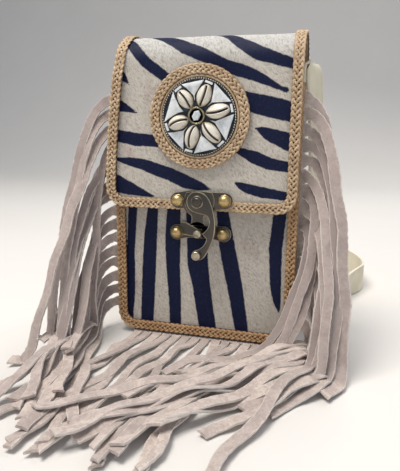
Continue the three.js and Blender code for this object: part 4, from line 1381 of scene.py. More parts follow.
@dataclass
class Latch:
    """Swing-hook latch: hasp on the flap, catch and post on the front wall, and the hook between them."""

    x: float = -1.5
    pivot_z: float = 92.7
    post_z: float = 72.8
    plate: float = 1.2
    hook_thick: float = 2.0
    hasp_back: float = 23.0
    hook_back: float = 24.6
    catch_back: float = 14.3
    gap: float = 0.3
    ear: float = 5.0
    ear_cut: float = 0.45
    nut_radius: float = 3.9
    nut_height: float = 4.2
    hasp_nuts: tuple[tuple[float, float], ...] = ((-14.2, 93.0), (15.2, 93.8))
    catch_nuts: tuple[tuple[float, float], ...] = ((-17.2, 71.2), (12.8, 71.6))
    brass: MetalFinish = MetalFinish("dark_brass", paint(88, 84, 79), paint(206, 196, 172), 0.42, 0.3)
    bright: MetalFinish = MetalFinish("bright_brass", paint(194, 170, 120), paint(236, 220, 180), 0.42, 0.42)

    def nut(self) -> Surface:
        """A domed nut: a low six-sided foot, where the radius follows the flats, and a round dome above.

        Returns:
            The nut in its own axes.
        """
        r, h = self.nut_radius, self.nut_height
        foot = [[0, 0], [r * 1.02, 0], [r * 1.05, 0.2], [r * 1.05, 0.7], [r, 0.9]]
        profile = np.concatenate([foot, arc((0.0, 0.95), (r * 0.97, h - 0.95), 0, 90, 11)])
        angles = 2 * np.pi * np.arange(48) / 48
        flats = np.cos(np.pi / 6) / np.cos(np.mod(angles, np.pi / 3) - np.pi / 6)
        six = 1 - ease(profile[:, 1:], 0.7, 1.1)
        edge = np.array([0, 0, 0.6, 0.9, 0.4] + [0.2] * 11)[:, None]
        return Surface.turned(profile, 48, 1 + (flats - 1) * 0.5 * six, edge=edge)

    @staticmethod
    def pin(stem: Sequence[Numbers], head: Numbers, eased: Numbers, bare: float) -> Surface:
        """A turned pin with a wider head, whose upper edge is a quarter of an ellipse.

        Args:
            stem: Radius and height pairs up to the head.
            head: Radius and height of the ellipse's middle.
            eased: The ellipse's width and height.
            bare: Wear of the head's flat top.

        Returns:
            The pin in its own axes.
        """
        profile = np.concatenate([stem, arc(head, eased, 0, 90, 6), [[0.0, head[1] + eased[1]]]])
        edge = np.array([0, 0, 0, 0.6, 0.75, 0.75, 0.75, 0.7, 0.65, 0.55, bare])[:, None]
        return Surface.turned(profile, 32, edge=edge)

    def hasp(self) -> None:
        """Makes the hasp: a thin plate with two ears, and the raised middle that the hook turns on.

        The plate has a roof over the pivot and a necked tongue with a hollow end. The middle is a bulged
        block over the same tongue.
        """
        (lx, lz), (rx, rz) = self.hasp_nuts
        x, z = self.x, self.pivot_z
        ears = outline(
            arc((lx, lz), self.ear, 270, 90, 16),
            [[x - 4, z + 7], [rx - 6, rz + self.ear]],
            arc((rx, rz), self.ear, 90, -90, 16),
            bows(
                (x + 11, z - 4.6), (x + 8, z - 6.6, x + 4.4, 84), (x + 3.4, 80, x + 5.2, 77.6),
                (x, 81.0, x - 5.2, 77.6), (x - 3.4, 80, x - 4.4, 84), (x - 8, z - 6.6, x - 9, z - 4.6),
            ),
        )
        boss = outline(bows(
            (x - 7.4, z + 5.4), (x - 9.6, z + 0.6, x - 7.2, z - 5.0), (x - 5.4, z - 7.0, x - 3.9, 84),
            (x - 3.0, 80.4, x - 4.7, 78.2), (x, 81.5, x + 4.7, 78.2), (x + 3.0, 80.4, x + 3.9, 84),
            (x + 6.4, z - 7.0, x + 8.6, z - 5.0), (x + 12.0, z + 0.6, x + 8.8, z + 5.8),
            (x + 1.0, z + 7.2, x - 7.4, z + 5.4),
        ))
        plates = [Surface.plate(ears, self.plate - self.ear_cut, 0.25), Surface.plate(boss, self.plate, 0.3)]
        both = Surface.joined(plates).facing(self.hasp_back)
        both.build("hasp", self.brass.material(), "dark_brass", ["hasp_plate"])

    def tongue(self) -> Surface:
        """The catch's tongue: a flat section carried along a bow from the plate to the post's foot.

        Returns:
            The tongue, with its rims marked bright as a painted highlight.
        """
        line = bow((-14.5, 0.9), (-8.0, 1.6), (self.x + 1.6, 5.6), 16)
        slope = 1.3 - 1.9 * ease(line[:, 0], -14.0, self.x)
        path = np.stack([line[:, 0], self.post_z + slope, line[:, 1]], axis=1)
        across = np.broadcast_to([0.0, 1.0, 0.0], path.shape)
        share = np.array([-1, -0.84, -0.66, 0.66, 0.84, 1, 0.84, -0.84])
        level = np.array([0, 0.9, 1, 1, 0.9, 0, -1, -1])
        # Painted highlight: the rims are marked bright along the whole tongue.
        worn = np.array([1.0, 0.7, 0, 0, 0.7, 1.0, 0, 0])
        tall = 4.4 - 1.6 * ease(line[:, 0], -13.0, self.x)[:, None]
        section = np.stack(np.broadcast_arrays(share * tall, level * 0.6), axis=-1)
        return Surface.carried(path, across, np.cross(travels(path), across), section, edge=worn)

    def catch(self) -> None:
        """Makes the catch: two ears on a bar, a near-black patch of painted shade for the opening, the tongue
        bent out of it, and the post.
        """
        (lx, lz), (rx, rz) = self.catch_nuts
        ring = outline(
            arc((lx, lz), self.ear, 270, 90, 16),
            bow((lx, lz + self.ear), (-12, 76.2), (-8, 76.4)),
            bow((4.5, 76.4), (8, 76.4), (rx, rz + self.ear)),
            arc((rx, rz), self.ear, 90, -90, 16),
            bow((rx, rz - self.ear), (8, 67.8), (4.5, 68.2)),
            bow((-8, 68.2), (-12, 68), (lx, lz - self.ear)),
        )
        base = Surface.plate(ring, self.plate, 0.3)
        # A thin near-black plate over the catch: painted shade for the opening round the post.
        opening = outline(
            bow((-8.6, 75.6), (-2.0, 76.4), (5.6, 75.4)),
            bow((7.0, 72.4), (6.4, 69.2), (3.0, 69.0)),
            bow((-2.0, 68.6), (-6.4, 68.6), (-9.6, 69.4)),
        )
        hollow = Surface.plate(opening, self.plate + 0.06, 0.02).marked(deep=1.0)
        stem = [[0, 0.4], [2.0, 0.4], [2.0, 9.6], [2.4, 10.0]]
        post = self.pin(stem, (2.0, 12.3), (0.4, 0.5), 0.48).moved([self.x + 0.3, self.post_z, 0.0])
        whole = Surface.joined([base, hollow, self.tongue(), post]).facing(self.catch_back)
        whole.build("catch", self.brass.material(), "dark_brass", ["catch_plate"])

    def hook(self) -> None:
        """Makes the swinging hook, the knob on its tail and the raised ring round its pivot.

        It is a crescent drawn from its pivot: round head, bowed back, a tail under the post, a spur to it.
        """
        ring = outline(
            arc((0, 0), 6.6, -103, -270, 26),
            bow((0, 6.6), (8.2, 6.2), (10.5, -6.0), 14),
            bow((10.5, -6.0), (14.0, -19.0), (6.4, -31.6), 18),
            bow((6.4, -31.6), (4.4, -36.4), (0.4, -36.2)),
            arc((0.2, -33.0), 3.2, -90, -261, 18),
            bow((-0.3, -29.9), (5.2, -27.6), (6.2, -22.4)),
            bows((3.1, -19.2), (7.0, -17.4, 7.8, -12.0), (7.4, -8.2, 4.6, -7.6), (1.6, -7.2, -1.5, -6.4)),
        )
        blade = Surface.plate(ring, self.hook_thick, 0.75)
        stem = [[0, 1.0], [2.0, 1.0], [2.0, 2.6], [2.8, 3.0]]
        knob = self.pin(stem, (2.2, 4.1), (0.6, 0.7), 0.5).moved([0.2, -33.0, 0.0])
        collar = arc((3.5, self.hook_thick - 0.1), (0.4, 0.3), 0, 180, 7)
        collar = Surface.turned(np.concatenate([collar, collar[:1]]), 48, edge=np.array(0.45))
        whole = Surface.joined([blade, knob, collar]).facing(self.hook_back, self.x, self.pivot_z)
        whole.build("hook", self.brass.material(), "dark_brass", ["swing_hook"], Body.HOOK)

    def rivet(self) -> None:
        """Makes the rivet that the hook turns on, with a domed head."""
        top = self.hook_thick + self.gap
        dome = arc((0.0, top + 0.15), (2.6, 0.65), 0, 90, 8)
        profile = np.concatenate([[[0, -0.1], [1.1, -0.1], [1.1, top], [2.6, top]], dome])
        edge = np.array([0, 0, 0, 0.7, 0.7, 0.5, 0.3] + [0.2] * 5)[:, None]
        rivet = Surface.turned(profile, 40, edge=edge).facing(self.hook_back, self.x, self.pivot_z)
        rivet.build("pivot_rivet", self.brass.material(), "dark_brass", ["hook_pivot"])

    def build(self) -> None:
        """Makes the plates, the hook, the rivet and the four nuts."""
        self.hasp()
        self.catch()
        self.hook()
        self.rivet()
        coat = self.bright.material()
        on_hasp = self.hasp_back + self.plate + self.gap - self.ear_cut
        on_catch = self.catch_back + self.plate + self.gap
        fronts = (on_hasp, on_hasp, on_catch, on_catch)
        for number, (spot, front) in enumerate(zip(self.hasp_nuts + self.catch_nuts, fronts), 1):
            nut = self.nut().spun(13.0 * number).facing(front, *spot)
            nut.build(f"nut_{number}", coat, "bright_brass", [f"stud_{number}"])


@dataclass
class Ground:
    """Heights of what lies on the ground, on a square grid to both sides and to the front."""

    cell: float = 1.5
    reach: float = 150.0
    samples: int = 7

    def __post_init__(self) -> None:
        """Starts with an empty floor."""
        count = round(2 * self.reach / self.cell) + 1
        self.heights = np.zeros((count, count))

    def cells(self, spots: Array, across: Array, half: float) -> tuple[Array, Array]:
        """Grid places under a strip's width.

        Args:
            spots: Places along the strip.
            across: Directions of its width.
            half: Half its width.

        Returns:
            Columns and rows of the grid, at each place of the strip.
        """
        offsets = np.linspace(-half, half, self.samples)[None, :, None]
        cover = spots[:, None, :2] + offsets * across[:, None, :2]
        last = len(self.heights) - 1
        column = np.clip(np.round((cover[..., 0] + self.reach) / self.cell), 0, last).astype(int)
        row = np.clip(np.round(-cover[..., 1] / self.cell), 0, last).astype(int)
        return column, row

    def under(self, spots: Array, across: Array, half: float) -> Array:
        """The highest thing under each point of a strip."""
        return self.heights[self.cells(spots, across, half)].max(axis=1)

    def lay(self, spots: Array, across: Array, half: float, tops: Array) -> None:
        """Marks where a strip lies, with the height of its upper face."""
        covered = np.broadcast_to(tops[:, None], (len(tops), self.samples))
        np.maximum.at(self.heights, self.cells(spots, across, half), covered)


@dataclass
class SideStrip:
    """One strip of a side fringe.

    reach: how far its arch is thrown out; land_x and land_y: where it meets the ground; heading: its
    direction there in degrees from +X; bend: how far it turns on the way to its tip; length: how long it is.
    """

    reach: float
    land_x: float
    land_y: float
    heading: float
    bend: float
    length: float


# Strips of the two side seams from the top down
LEFT_STRIPS = [SideStrip(*row) for row in (
    (13, -85, -64, -94, 8, 184), (11, -80, -60, -98, 0, 178), (9, -90, -77, -140, 0, 160),
    (7, -68, -36, -80, 0, 182), (11, -78, -56, -74, -10, 172), (15, -70, -66, -64, -6, 152),
    (16, -72, -76, -92, -10, 180),
    (14, -72, -74, -80, 8, 176), (16, -66, -70, -100, -34, 172), (15, -71, -58, -82, -8, 162),
    (16, -69, -60, -72, 8, 150), (15, -73, -44, -90, 14, 158), (16, -69, -46, -78, -6, 164),
    (15, -71, -36, -83, 12, 152), (15, -69, -34, -76, -6, 160), (13, -68, -31, -73, 6, 148),
)]
RIGHT_STRIPS = [SideStrip(*row) for row in (
    (15, 81, -43, -88, 0, 176), (10, 88, -52, -104, -8, 184), (11, 82, -56, -118, -14, 200),
    (12, 80, -52, -126, -8, 204), (10, 70, -50, -136, 10, 196), (11, 76, -60, -122, -12, 206),
    (8, 44, -44, -142, 4, 172), (10, 74, -56, -132, -6, 200), (8, 38, -39, -146, 6, 156),
    (10, 72, -50, -134, 10, 196), (8, 50, -44, -138, 0, 176), (10, 70, -56, -116, 14, 190),
    (10, 68, -48, -138, 6, 200), (10, 69, -40, -130, -10, 196), (10, 68, -36, -136, 8, 200),
    (10, 67, -30, -138, -6, 190),
)]
# Heading and bend of the strips along the bottom, from the left
BOTTOM_STRIPS = (
    (-97, 8), (-104, -6), (-99, 10), (-106, 8), (-102, 8), (-95, 10), (-108, 8),
    (-100, 8), (-86, -10), (-106, 10), (-111, 8), (-103, 8), (-113, 8), (-108, -8),
)


@dataclass
class Fringe:
    """Long suede strips from the front seams, laid over each other on the ground."""

    width: float = 7.0
    thick: float = 1.4
    bottom_length: float = 130.0
    pitch: float = 9.0
    seam_x: float = 58.5
    seam_y: float = -10.6
    seam_top: float = 154.0
    header_inner: float = 55.8
    header_outer: float = 59.4
    foot_front: float = 17.4
    foot_back: float = 12.0
    foot_reach: float = 48.0
    inside: float = 55.5
    step: float = 2.0
    press: float = 1.0
    stem: float = 6.0
    pile: float = 12.0
    webbed: float = 8.0
    slit: float = 0.5
    seed: int = 7
    finish: SuedeFinish = SuedeFinish()

    def __post_init__(self) -> None:
        """Starts the floor and the seeded chance that strips differ by."""
        self.ground = Ground()
        self.chance = np.random.default_rng(self.seed)

    def along_ground(self, start: Array, heading: float, bend: float, length: float) -> Array:
        """A run over the ground whose direction turns steadily.

        Args:
            start: Where it starts.
            heading: Its first direction, in degrees from +X.
            bend: How far it turns on the way.
            length: How long it is.

        Returns:
            Places after the start.
        """
        count = max(2, round(length / self.step))
        angles = np.radians(heading + bend * (np.arange(count) + 0.5) / count)
        steps = np.stack([np.cos(angles), np.sin(angles), np.zeros(count)], axis=1) * length / count
        return start + np.cumsum(steps, axis=0)

    def soften(self, path: Array, window: int) -> Array:
        """A path smoothed by means over a window, which shrinks towards the ends so that they stay.

        Args:
            path: Places in order.
            window: How many places either side count.

        Returns:
            The smoothed places.
        """
        count = len(path)
        order = np.arange(count)
        reach = np.minimum(np.minimum(order, count - 1 - order), window)
        sums = np.concatenate([np.zeros((1, path.shape[1])), np.cumsum(path, axis=0)])
        return (sums[order + reach + 1] - sums[order - reach]) / (2 * reach + 1)[:, None]

    def side_path(self, side: Side, strip: SideStrip, root_z: float) -> Array:
        """A short stem out of the seam, a cubic Bezier fall to the landing, and the run over the ground.

        A strip that sweeps across in front of the bag is thrown forward and comes down slowly; the others
        drop. Neighbours hang at different depths, and on the left the top ones are in front.

        Args:
            side: Side of the bag.
            strip: How the strip lies.
            root_z: Height of its root.

        Returns:
            Evenly spaced places along the strip.
        """
        root = np.array([side.value * self.seam_x, self.seam_y, root_z])
        start = root + self.chance.uniform(0.7, 1.3, 3) * [side.value * self.stem, -0.8, 0.6]
        start[2] += self.chance.uniform(-1.6, 1.6)
        land = np.array([strip.land_x, strip.land_y, self.thick / 2])
        heading = np.radians(strip.heading)
        sweeps = abs(strip.land_x) < self.inside
        back = min(36.0 if sweeps else 15.0, 0.35 * root_z)
        rise = (0.3 if sweeps else 0.4) * root_z
        number = round((self.seam_top - root_z) / self.pitch)
        drift = number / 15 - 0.5 if side is Side.LEFT else 0.1
        aside = -0.5 if sweeps else min(drift + 0.3 * (-1) ** number, 0.4)
        out = start + strip.reach * np.array([side.value * 0.95, aside - (0.6 if sweeps else 0.2), 0.1])
        over = land + np.array([-np.cos(heading) * back, -np.sin(heading) * back + 12 * aside, rise])
        t = np.linspace(0.0, 1.0, 160)[:, None]
        fall = (1 - t) ** 3 * start + 3 * t * (1 - t) ** 2 * out + 3 * t**2 * (1 - t) * over + t**3 * land
        fall = np.concatenate([root[None], fall])
        rest = max(10.0, strip.length - runs_along(fall)[-1])
        run = self.along_ground(land, strip.heading, strip.bend, rest)
        return self.soften(np.concatenate([spaced(fall, self.step), run]), 6)

    def frames(self, path: Array, from_seam: bool) -> tuple[Array, Array, Array]:
        """Travel, across and up directions of a strip.

        It faces the front at its root and as it falls, and up on the ground.

        Args:
            path: Places along the strip.
            from_seam: It starts at a side seam.

        Returns:
            The three directions at each place.
        """
        ahead = np.array([0.0, -1.0, 0.0])
        travel = travels(path)
        level = np.hypot(travel[:, :1], travel[:, 1:2])
        falling = np.maximum(-travel[:, 2:], 0.0) * ahead + level * [0, 0, 1]
        tall = path[0, 2]
        fallen = ease(runs_along(path), 8 + 0.12 * tall, 22 + 0.7 * tall)[:, None] if from_seam else 1.0
        facing = ahead * (1 - fallen) + unit(falling) * fallen
        up = unit(facing - (facing * travel).sum(axis=1, keepdims=True) * travel)
        return travel, unit(np.cross(travel, up)), up

    def settle(self, path: Array, across: Array, travel: Array, half: float) -> Array:
        """Lays a strip over what is on the ground, and marks it there.

        Args:
            path: Places along the strip.
            across: Directions of its width.
            travel: Directions of travel.
            half: Half its width.

        Returns:
            The heights of its middle.
        """
        under = np.minimum(self.ground.under(path, across, half), self.pile)
        lie = slide(slide(under, 5, np.max), 5, np.mean) + self.thick / 2 + 0.1
        lie = self.thick / 2 + (lie - self.thick / 2) * ease(runs_along(path), 6, 30)
        height = np.maximum(path[:, 2], lie)
        lying = (np.abs(travel[:, 2]) < 0.6) & (height < 1.6 * self.pile)
        tops = height[lying] + self.thick / 2 - (self.thick - self.press)
        self.ground.lay(path[lying], across[lying], half - 0.8, tops)
        return height

    def strip(self, path: Array, half: float, joined: float = 0.0) -> Surface:
        """One suede strip.

        A thin section with rounded edges is carried along the path. It sways and twists as sines along its
        length, is cupped across, varies a little in width with frayed edges, and its tip is cut at a slant.

        Args:
            path: Places along the strip.
            half: Half its width.
            joined: Length over which it is still joined to its neighbours at a side seam.

        Returns:
            The strip.
        """
        along = runs_along(path)
        from_seam = joined > 0
        travel, across, up = self.frames(path, from_seam)
        path = path.copy()
        path[:, 2] = self.settle(path, across, travel, half)
        path = self.soften(path, 2)
        phase = self.chance.uniform(0, 2 * np.pi, 4)
        wave = self.chance.uniform(34, 62, 4)
        free = ease(along, 14, 60) if from_seam else ease(along, 8, 40)
        hanging = ease(np.abs(travel[:, 2]), 0.25, 0.7)
        sway = (1.5 - 0.9 * hanging) * free * np.sin(2 * np.pi * along / wave[0] + phase[0])
        path += across * sway[:, None]
        travel, across, up = self.frames(path, from_seam)
        turn = np.radians(7 + 14 * self.chance.uniform() ** 2)
        twist = turn * free * np.sin(2 * np.pi * along / (2.2 * wave[1]) + phase[1])
        path[:, 2] += half * np.abs(np.sin(twist)) * (1 - hanging)
        path[:, 2] += 1.9 * free * (1 - hanging) * np.sin(np.pi * along / wave[2] + phase[2]) ** 2
        turned_across = across * np.cos(twist)[:, None] + up * np.sin(twist)[:, None]
        turned_up = up * np.cos(twist)[:, None] - across * np.sin(twist)[:, None]
        share, level = thin_section(0.92, 0.5)
        rolling = 0.6 + 0.4 * np.sin(2 * np.pi * along / wave[3] + phase[3])
        cup = self.chance.uniform(-1.1, 0.5) * free * rolling
        own = half * self.chance.uniform(0.76, 0.92)
        wide = own * (1 + 0.03 * np.sin(2 * np.pi * along / 23 + phase[2]))
        parting = joined + self.chance.uniform(2.5, 8)
        rooted = (1 - ease(along, joined, parting)) if from_seam else np.zeros(len(along))
        wide = wide + (self.pitch / 2 + 0.1 - wide) * rooted
        frayed = self.chance.normal(0.0, 0.14, (len(along), 2))[:, (share > 0).astype(int)]
        broad = (wide[:, None] + frayed * (1 - rooted[:, None])) * share
        high = level * self.thick / 2 + cup[:, None] * (share**2 - 0.3)
        # The hang mark holds how far each place hangs, for the painted shade that the suede puts on hanging
        # strips.
        made = Surface.carried(
            path, turned_across, turned_up, np.stack([broad, high], axis=-1),
            hang=hanging[:, None], side=np.abs(share), strip=np.array(self.chance.uniform()),
        )
        slant = self.chance.uniform(-2.5, 2.5) * ease(along, along[-1] - 10, along[-1])
        shift = (slant[:, None] * share)[..., None] * travel[:, None]
        made.points = made.points + shift.reshape(-1, 3)
        made.points[:, 2] = np.maximum(made.points[:, 2], 0.05)
        return made

    def block(self, low: Numbers, high: Numbers) -> Surface:
        """A header that the strips are cut from: a flat band with eased ends.

        Args:
            low: Its lowest corner.
            high: Its highest corner.

        Returns:
            The header.
        """
        size = np.subtract(high, low)
        share = np.array([0.0, 0.06, 0.94, 1.0])
        inset = np.array([0.25, 0.0, 0.0, 0.25])
        corners = np.array([[0, 0], [1, 0], [1, 1], [0, 1]], dtype=float)
        flat = (corners[None] - 0.5) * (1 - inset[:, None, None]) + 0.5
        rings = np.insert(flat, int(np.argmax(size)), np.broadcast_to(share[:, None], (4, 4)), axis=2)
        return Surface.tube(low + rings * size, side=np.array(0.5))

    def bottom(self, coat: Material) -> None:
        """Makes the fringe along the bottom edge: each strip starts straight and then runs over the ground.

        Args:
            coat: Its suede.
        """
        half = self.width / 2 - 0.3
        last = self.foot_reach - self.width / 2 - 0.5
        roots = np.linspace(-last, last, len(BOTTOM_STRIPS))
        low = [-self.foot_reach, -self.foot_front, 0.1]
        parts = [self.block(low, [self.foot_reach, -self.foot_back, self.thick])]
        for (heading, bend), x in zip(BOTTOM_STRIPS, roots):
            start = np.array([[x, y - self.foot_front, self.thick / 2] for y in (1.2, -6.0)])
            run = self.along_ground(start[1], heading, bend, self.bottom_length)
            parts.append(self.strip(self.soften(np.concatenate([start, run]), 5), half))
        piece = Surface.joined(parts).build("bottom_fringe", coat, "suede", ["fringe_bottom"])

    def side(self, side: Side, rows: Sequence[SideStrip], coat: Material) -> None:
        """Makes one side's fringe, laid from the bottom up on the left and from the top down on the right.

        Args:
            side: Side of the bag.
            rows: Its strips, from the top down.
            coat: Its suede.
        """
        half = self.width / 2
        foot = self.seam_top - self.pitch * (len(rows) - 1) - half - 1
        near, far = sorted([side.value * self.header_inner, side.value * self.header_outer])
        level = [self.seam_y - self.thick / 2, self.seam_y + self.thick / 2]
        parts = [self.block([near, level[0], foot], [far, level[1], self.seam_top + half + 1])]
        for number in range(len(rows))[:: side.value]:
            path = self.side_path(side, rows[number], self.seam_top - self.pitch * number)
            joined = self.webbed if side is Side.RIGHT and number > 5 else self.slit
            parts.append(self.strip(path, half, joined))
        name = side.name.lower()
        piece = Surface.joined(parts).build(f"{name}_fringe", coat, "suede", [f"fringe_{name}"])
        lengths = np.array([row.length for row in rows])
        cut = lengths.sum() * self.width
        flat = ((self.seam_top - foot) * MM, (lengths.max() + 6) * MM)
        min(cut * MM**2, flat[0] * flat[1])

    def build(self) -> None:
        """Makes the bottom fringe and then the two sides, in the order that they lie."""
        coat = self.finish.material()
        self.bottom(coat)
        self.side(Side.LEFT, LEFT_STRIPS, coat)
        self.side(Side.RIGHT, RIGHT_STRIPS, coat)


# Right half of the strap's route, from the seam on the side wall to the middle at the back: the place of its
# middle, and the direction of its width
STRAP_ROUTE = (
    (57, 2, 138, 0, 1, 0), (57, 2, 152, 0, 1, 0), (57.2, 2, 164, 0.02, 1, 0), (58.2, 2, 171.5, 0.1, 1, 0),
    (60, 2, 174.8, 0.2, 1, 0), (61.7, 2.2, 172, 0.3, 1, 0), (62.7, 2.8, 165, 0.34, 1, 0),
    (63.5, 4, 156, 0.34, 1, 0), (65.2, 9, 132, 0.32, 1, 0), (67.4, 16, 106, 0.5, 1, 0),
    (69.5, 24, 80, 0.75, 0.7, 0), (71, 33, 54, 1, 0.2, 0), (72, 44, 28, 1, 0, 0), (74, 58, 9, 1, -0.25, 0.1),
    (80, 76, 7.2, 0.85, -0.35, 0.5), (90, 96, 9.4, 0.3, -0.2, 0.9), (101, 113, 11.1, 0, 0, 1),
    (107, 130, 11.1, 0, 0, 1), (106, 150, 11.1, 0, 0, 1), (97, 178, 11.1, 0, 0, 1), (76, 206, 11.1, 0, 0, 1),
    (42, 228, 11.1, 0, 0, 1), (0, 236, 11.1, 0, 0, 1),
)


@dataclass
class Strap:
    """The leather strap: sewn to both side walls, and lying in a loop behind the bag."""

    width: float = 22.0
    thick: float = 2.0
    step: float = 2.5
    finish: LeatherFinish = LeatherFinish(
        "strap_leather", paint(228, 221, 200), paint(212, 204, 180), paint(238, 233, 218)
    )

    def route(self) -> Array:
        """The whole route: the right half and its mirror."""
        right = np.array(STRAP_ROUTE, dtype=float)
        return np.concatenate([right, right[-2::-1] * [-1, 1, 1, -1, 1, 1]])

    def curve(self, knots: Array) -> Array:
        """Centripetal Catmull-Rom curve through the knots.

        Between two knots it is a cubic Hermite span, whose slopes weigh the chords on both sides by the
        square roots of their lengths.

        Args:
            knots: Rows of place and width direction.

        Returns:
            Close rows along the curve.
        """
        spans = np.sqrt(np.linalg.norm(np.diff(knots[:, :3], axis=0), axis=1))[:, None]
        chords = np.diff(knots, axis=0) / spans
        wide = (knots[2:] - knots[:-2]) / (spans[1:] + spans[:-1])
        inner = chords[:-1] - wide + chords[1:]
        slopes = np.concatenate([chords[:1], inner, chords[-1:]])
        t = np.linspace(0.0, 1.0, 24, endpoint=False)[None, :, None]
        start, stop = knots[:-1, None], knots[1:, None]
        leave, arrive = slopes[:-1, None] * spans[:, None], slopes[1:, None] * spans[:, None]
        rows = (2 * t**3 - 3 * t**2 + 1) * start + (t**3 - 2 * t**2 + t) * leave
        rows = rows + (3 * t**2 - 2 * t**3) * stop + (t**3 - t**2) * arrive
        return np.concatenate([rows.reshape(-1, knots.shape[1]), knots[-1:]])

    def build(self) -> None:
        """Makes the strap: a flat section with rounded edges carried along the route."""
        rows = spaced(self.curve(self.route()), self.step)
        path = rows[:, :3]
        travel = travels(path)
        across = unit(rows[:, 3:] - (rows[:, 3:] * travel).sum(axis=1, keepdims=True) * travel)
        share, level = thin_section(0.96, 0.6)
        section = np.stack([share * self.width / 2, level * self.thick / 2], axis=1)
        strap = Surface.carried(path, across, np.cross(travel, across), section, edge=np.abs(share) ** 8)
        strap.points[:, 2] = np.maximum(strap.points[:, 2], 0.1)
        piece = strap.build("long_strap", self.finish.material(), "strap_leather", ["strap"])


@dataclass
class Stitches:
    """Rows of short thread stitches."""

    length: float = 2.6
    pitch: float = 4.0
    radius: float = 0.35
    thread: LeatherFinish = LeatherFinish(
        "thread", paint(190, 170, 140), paint(160, 140, 110), paint(200, 184, 160), 0.8
    )

    def row(self, start: Numbers, stop: Numbers, out: Numbers) -> Surface:
        """Stitches between two places: each is a small bowed six-sided bead of thread.

        Args:
            start: Where the row starts.
            stop: Where it stops.
            out: Direction out of the leather.

        Returns:
            The stitches.
        """
        first, last = np.array(start, dtype=float), np.array(stop, dtype=float)
        ahead = unit(last - first)
        count = max(1, int(np.linalg.norm(last - first) // self.pitch))
        middles = first + (np.arange(count) + 0.5)[:, None] * (last - first) / count
        share = np.array([-1.0, -0.8, 0.0, 0.8, 1.0])
        rise = np.array([-0.3, 0.15, 0.3, 0.15, -0.3])
        swell = np.array([0.2, 0.9, 1.0, 0.9, 0.2])
        up = np.array(out, dtype=float)
        line = share[:, None] * ahead * self.length / 2 + rise[:, None] * up
        angles = 2 * np.pi * np.arange(6) / 6
        ring = np.stack([np.cos(angles), np.sin(angles)], axis=1) * self.radius * swell[:, None, None]
        across, high = (np.broadcast_to(way, line.shape) for way in (np.cross(ahead, up), up))
        stitch = Surface.carried(line, across, high, ring)
        return Surface.joined(stitch.moved(middle) for middle in middles)

    def build(self, shell: Shell, line: FlapLine) -> None:
        """Makes the stitches along the flap's hem at the back and down the edges of the back wall.

        Args:
            shell: The bag's body.
            line: The flap's line.
        """
        hem = line.back_y + line.thick / 2
        high = line.back_hem + 4.0
        reach = line.half_width - 10.0
        side = shell.half_width - 4.0
        wall = shell.depth / 2 + shell.hide
        spans = [([-reach, hem, high], [reach, hem, high])]
        spans += [([x, wall, 16.0], [x, wall, line.back_hem - 2.0]) for x in (-side, side)]
        spans.append(([-side + 8.0, wall, 4.4], [side - 8.0, wall, 4.4]))
        rows = Surface.joined(self.row(start, stop, [0, 1, 0]) for start, stop in spans)
        rows.build("stitches", self.thread.material(), "lacing")


def dress_node(name: str, material: Material) -> None:
    """Gives a frame node that stays in view its finish.

    Args:
        name: The node.
        material: Its finish.
    """
    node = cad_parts[name]
    if not node.data.materials:
        node.data.materials.append(material)
    for place in node.material_slots:
        place.material = material
    LOG.info("%s: dressed", name)


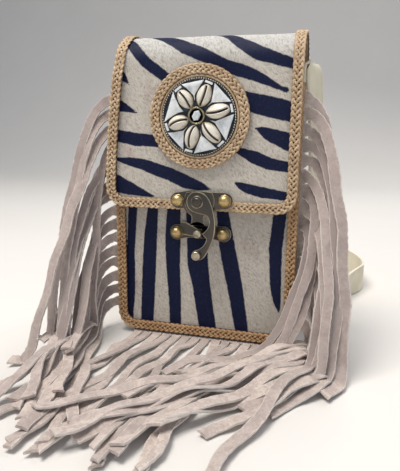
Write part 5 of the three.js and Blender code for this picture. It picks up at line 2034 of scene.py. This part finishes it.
@dataclass
class Studio:
    """Floor, soft lights and the camera at the photograph's angle."""

    image_width: float = 400.0
    focal: float = 500.0
    sensor: float = 36.0
    eye: Place = (77.1, -315.0, 136.8)
    yaw: float = -14.82
    pitch: float = 12.18
    roll: float = -0.64
    floor_half: float = 4.0
    floor_level: float = -0.0004
    wall_start: float = 0.9
    wall_radius: float = 0.9
    wall_top: float = 3.0
    aim: Place = (0.0, -0.02, 0.1)
    surround: Colour = (0.86, 0.91, 1.0, 1.0)
    surround_strength: float = 0.36
    finish: FloorFinish = FloorFinish()

    def camera(self) -> None:
        """Makes the camera, turned by its yaw, pitch and roll, with the lens for its focal length."""
        yaw, pitch, roll = np.radians([self.yaw, self.pitch, self.roll])
        ahead = np.array([np.sin(yaw) * np.cos(pitch), np.cos(yaw) * np.cos(pitch), -np.sin(pitch)])
        level = np.array([np.cos(yaw), -np.sin(yaw), 0.0])
        down = np.cross(ahead, level)
        right = level * np.cos(roll) + down * np.sin(roll)
        lower = -level * np.sin(roll) + down * np.cos(roll)
        lens = bpy.data.cameras.new("camera")
        lens.sensor_fit = "HORIZONTAL"
        lens.sensor_width = self.sensor
        lens.lens = self.focal / self.image_width * self.sensor
        lens.clip_start = 0.01
        bpy.context.scene.camera = put("camera", lens, (right, -lower, -ahead), np.array(self.eye) * MM)

    def floor(self) -> None:
        """Makes a wide floor that turns up into a wall along a quarter circle of (y, z) places."""
        turn = arc((self.wall_start, self.wall_radius), self.wall_radius, -90, 0, 40)
        top = [self.wall_start + self.wall_radius, self.wall_top]
        line = np.concatenate([[[-self.floor_half, 0.0]], turn, [top]])
        x = np.broadcast_to([-self.floor_half, self.floor_half], (len(line), 2))
        y, z = (np.broadcast_to(part[:, None], x.shape) for part in line.T)
        sheet = Surface.grid(np.stack([x, y, z + self.floor_level], axis=-1))
        mesh = bpy.data.meshes.new("floor")
        mesh.from_pydata(sheet.points, [], sheet.faces[0].tolist())
        mesh.polygons.foreach_set("use_smooth", np.ones(len(mesh.polygons), dtype=bool))
        mesh.materials.append(self.finish.material())
        put("floor", mesh)

    def light(self, name: str, place: Place, size: float, power: float, tint: Colour) -> None:
        """Makes a square soft light that looks at the bag.

        Args:
            name: Its name.
            place: Where it is, in metres.
            size: Length of its sides, in metres.
            power: Its power in watts.
            tint: Its colour.
        """
        lamp = bpy.data.lights.new(name, "AREA")
        lamp.size = size
        lamp.energy = power
        lamp.color = tint[:3]
        back = unit(np.array(place) - np.array(self.aim))
        right = unit(np.cross([0.0, 0.0, 1.0], back))
        put(name, lamp, (right, np.cross(back, right), back), place)

    def build(self) -> None:
        """Makes the floor, three soft lights, an even surround and the camera."""
        self.floor()
        self.light("key", (-0.28, -0.38, 1.25), 0.6, 17.0, paint(255, 249, 241))
        self.light("fill", (0.8, -1.0, 0.5), 0.8, 1.5, paint(236, 243, 255))
        self.light("rear", (0.35, 0.75, 0.95), 0.7, 6.0, paint(255, 250, 244))
        world = bpy.data.worlds.new("surround")
        world.use_nodes = True
        back = world.node_tree.nodes["Background"]
        back.inputs["Color"].default_value = self.surround
        back.inputs["Strength"].default_value = self.surround_strength
        bpy.context.scene.world = world
        bpy.context.scene.view_settings.view_transform = "Standard"
        self.camera()


def main() -> None:
    """Builds the bag from its body outwards, then the studio."""
    logging.basicConfig(level=logging.INFO, format="%(name)s %(message)s")
    shell = Shell()
    shell.build()
    line = FlapLine()
    Flap(line).build()
    lacing = Lacing()
    lacing.front(shell)
    lacing.flap(line)
    medallion = Medallion()
    lacing.ring(medallion)
    medallion.build()
    Latch().build()
    Fringe().build()
    Strap().build()
    Stitches().build(shell, line)
    Studio().build()


if __name__ == "__main__":
    main()
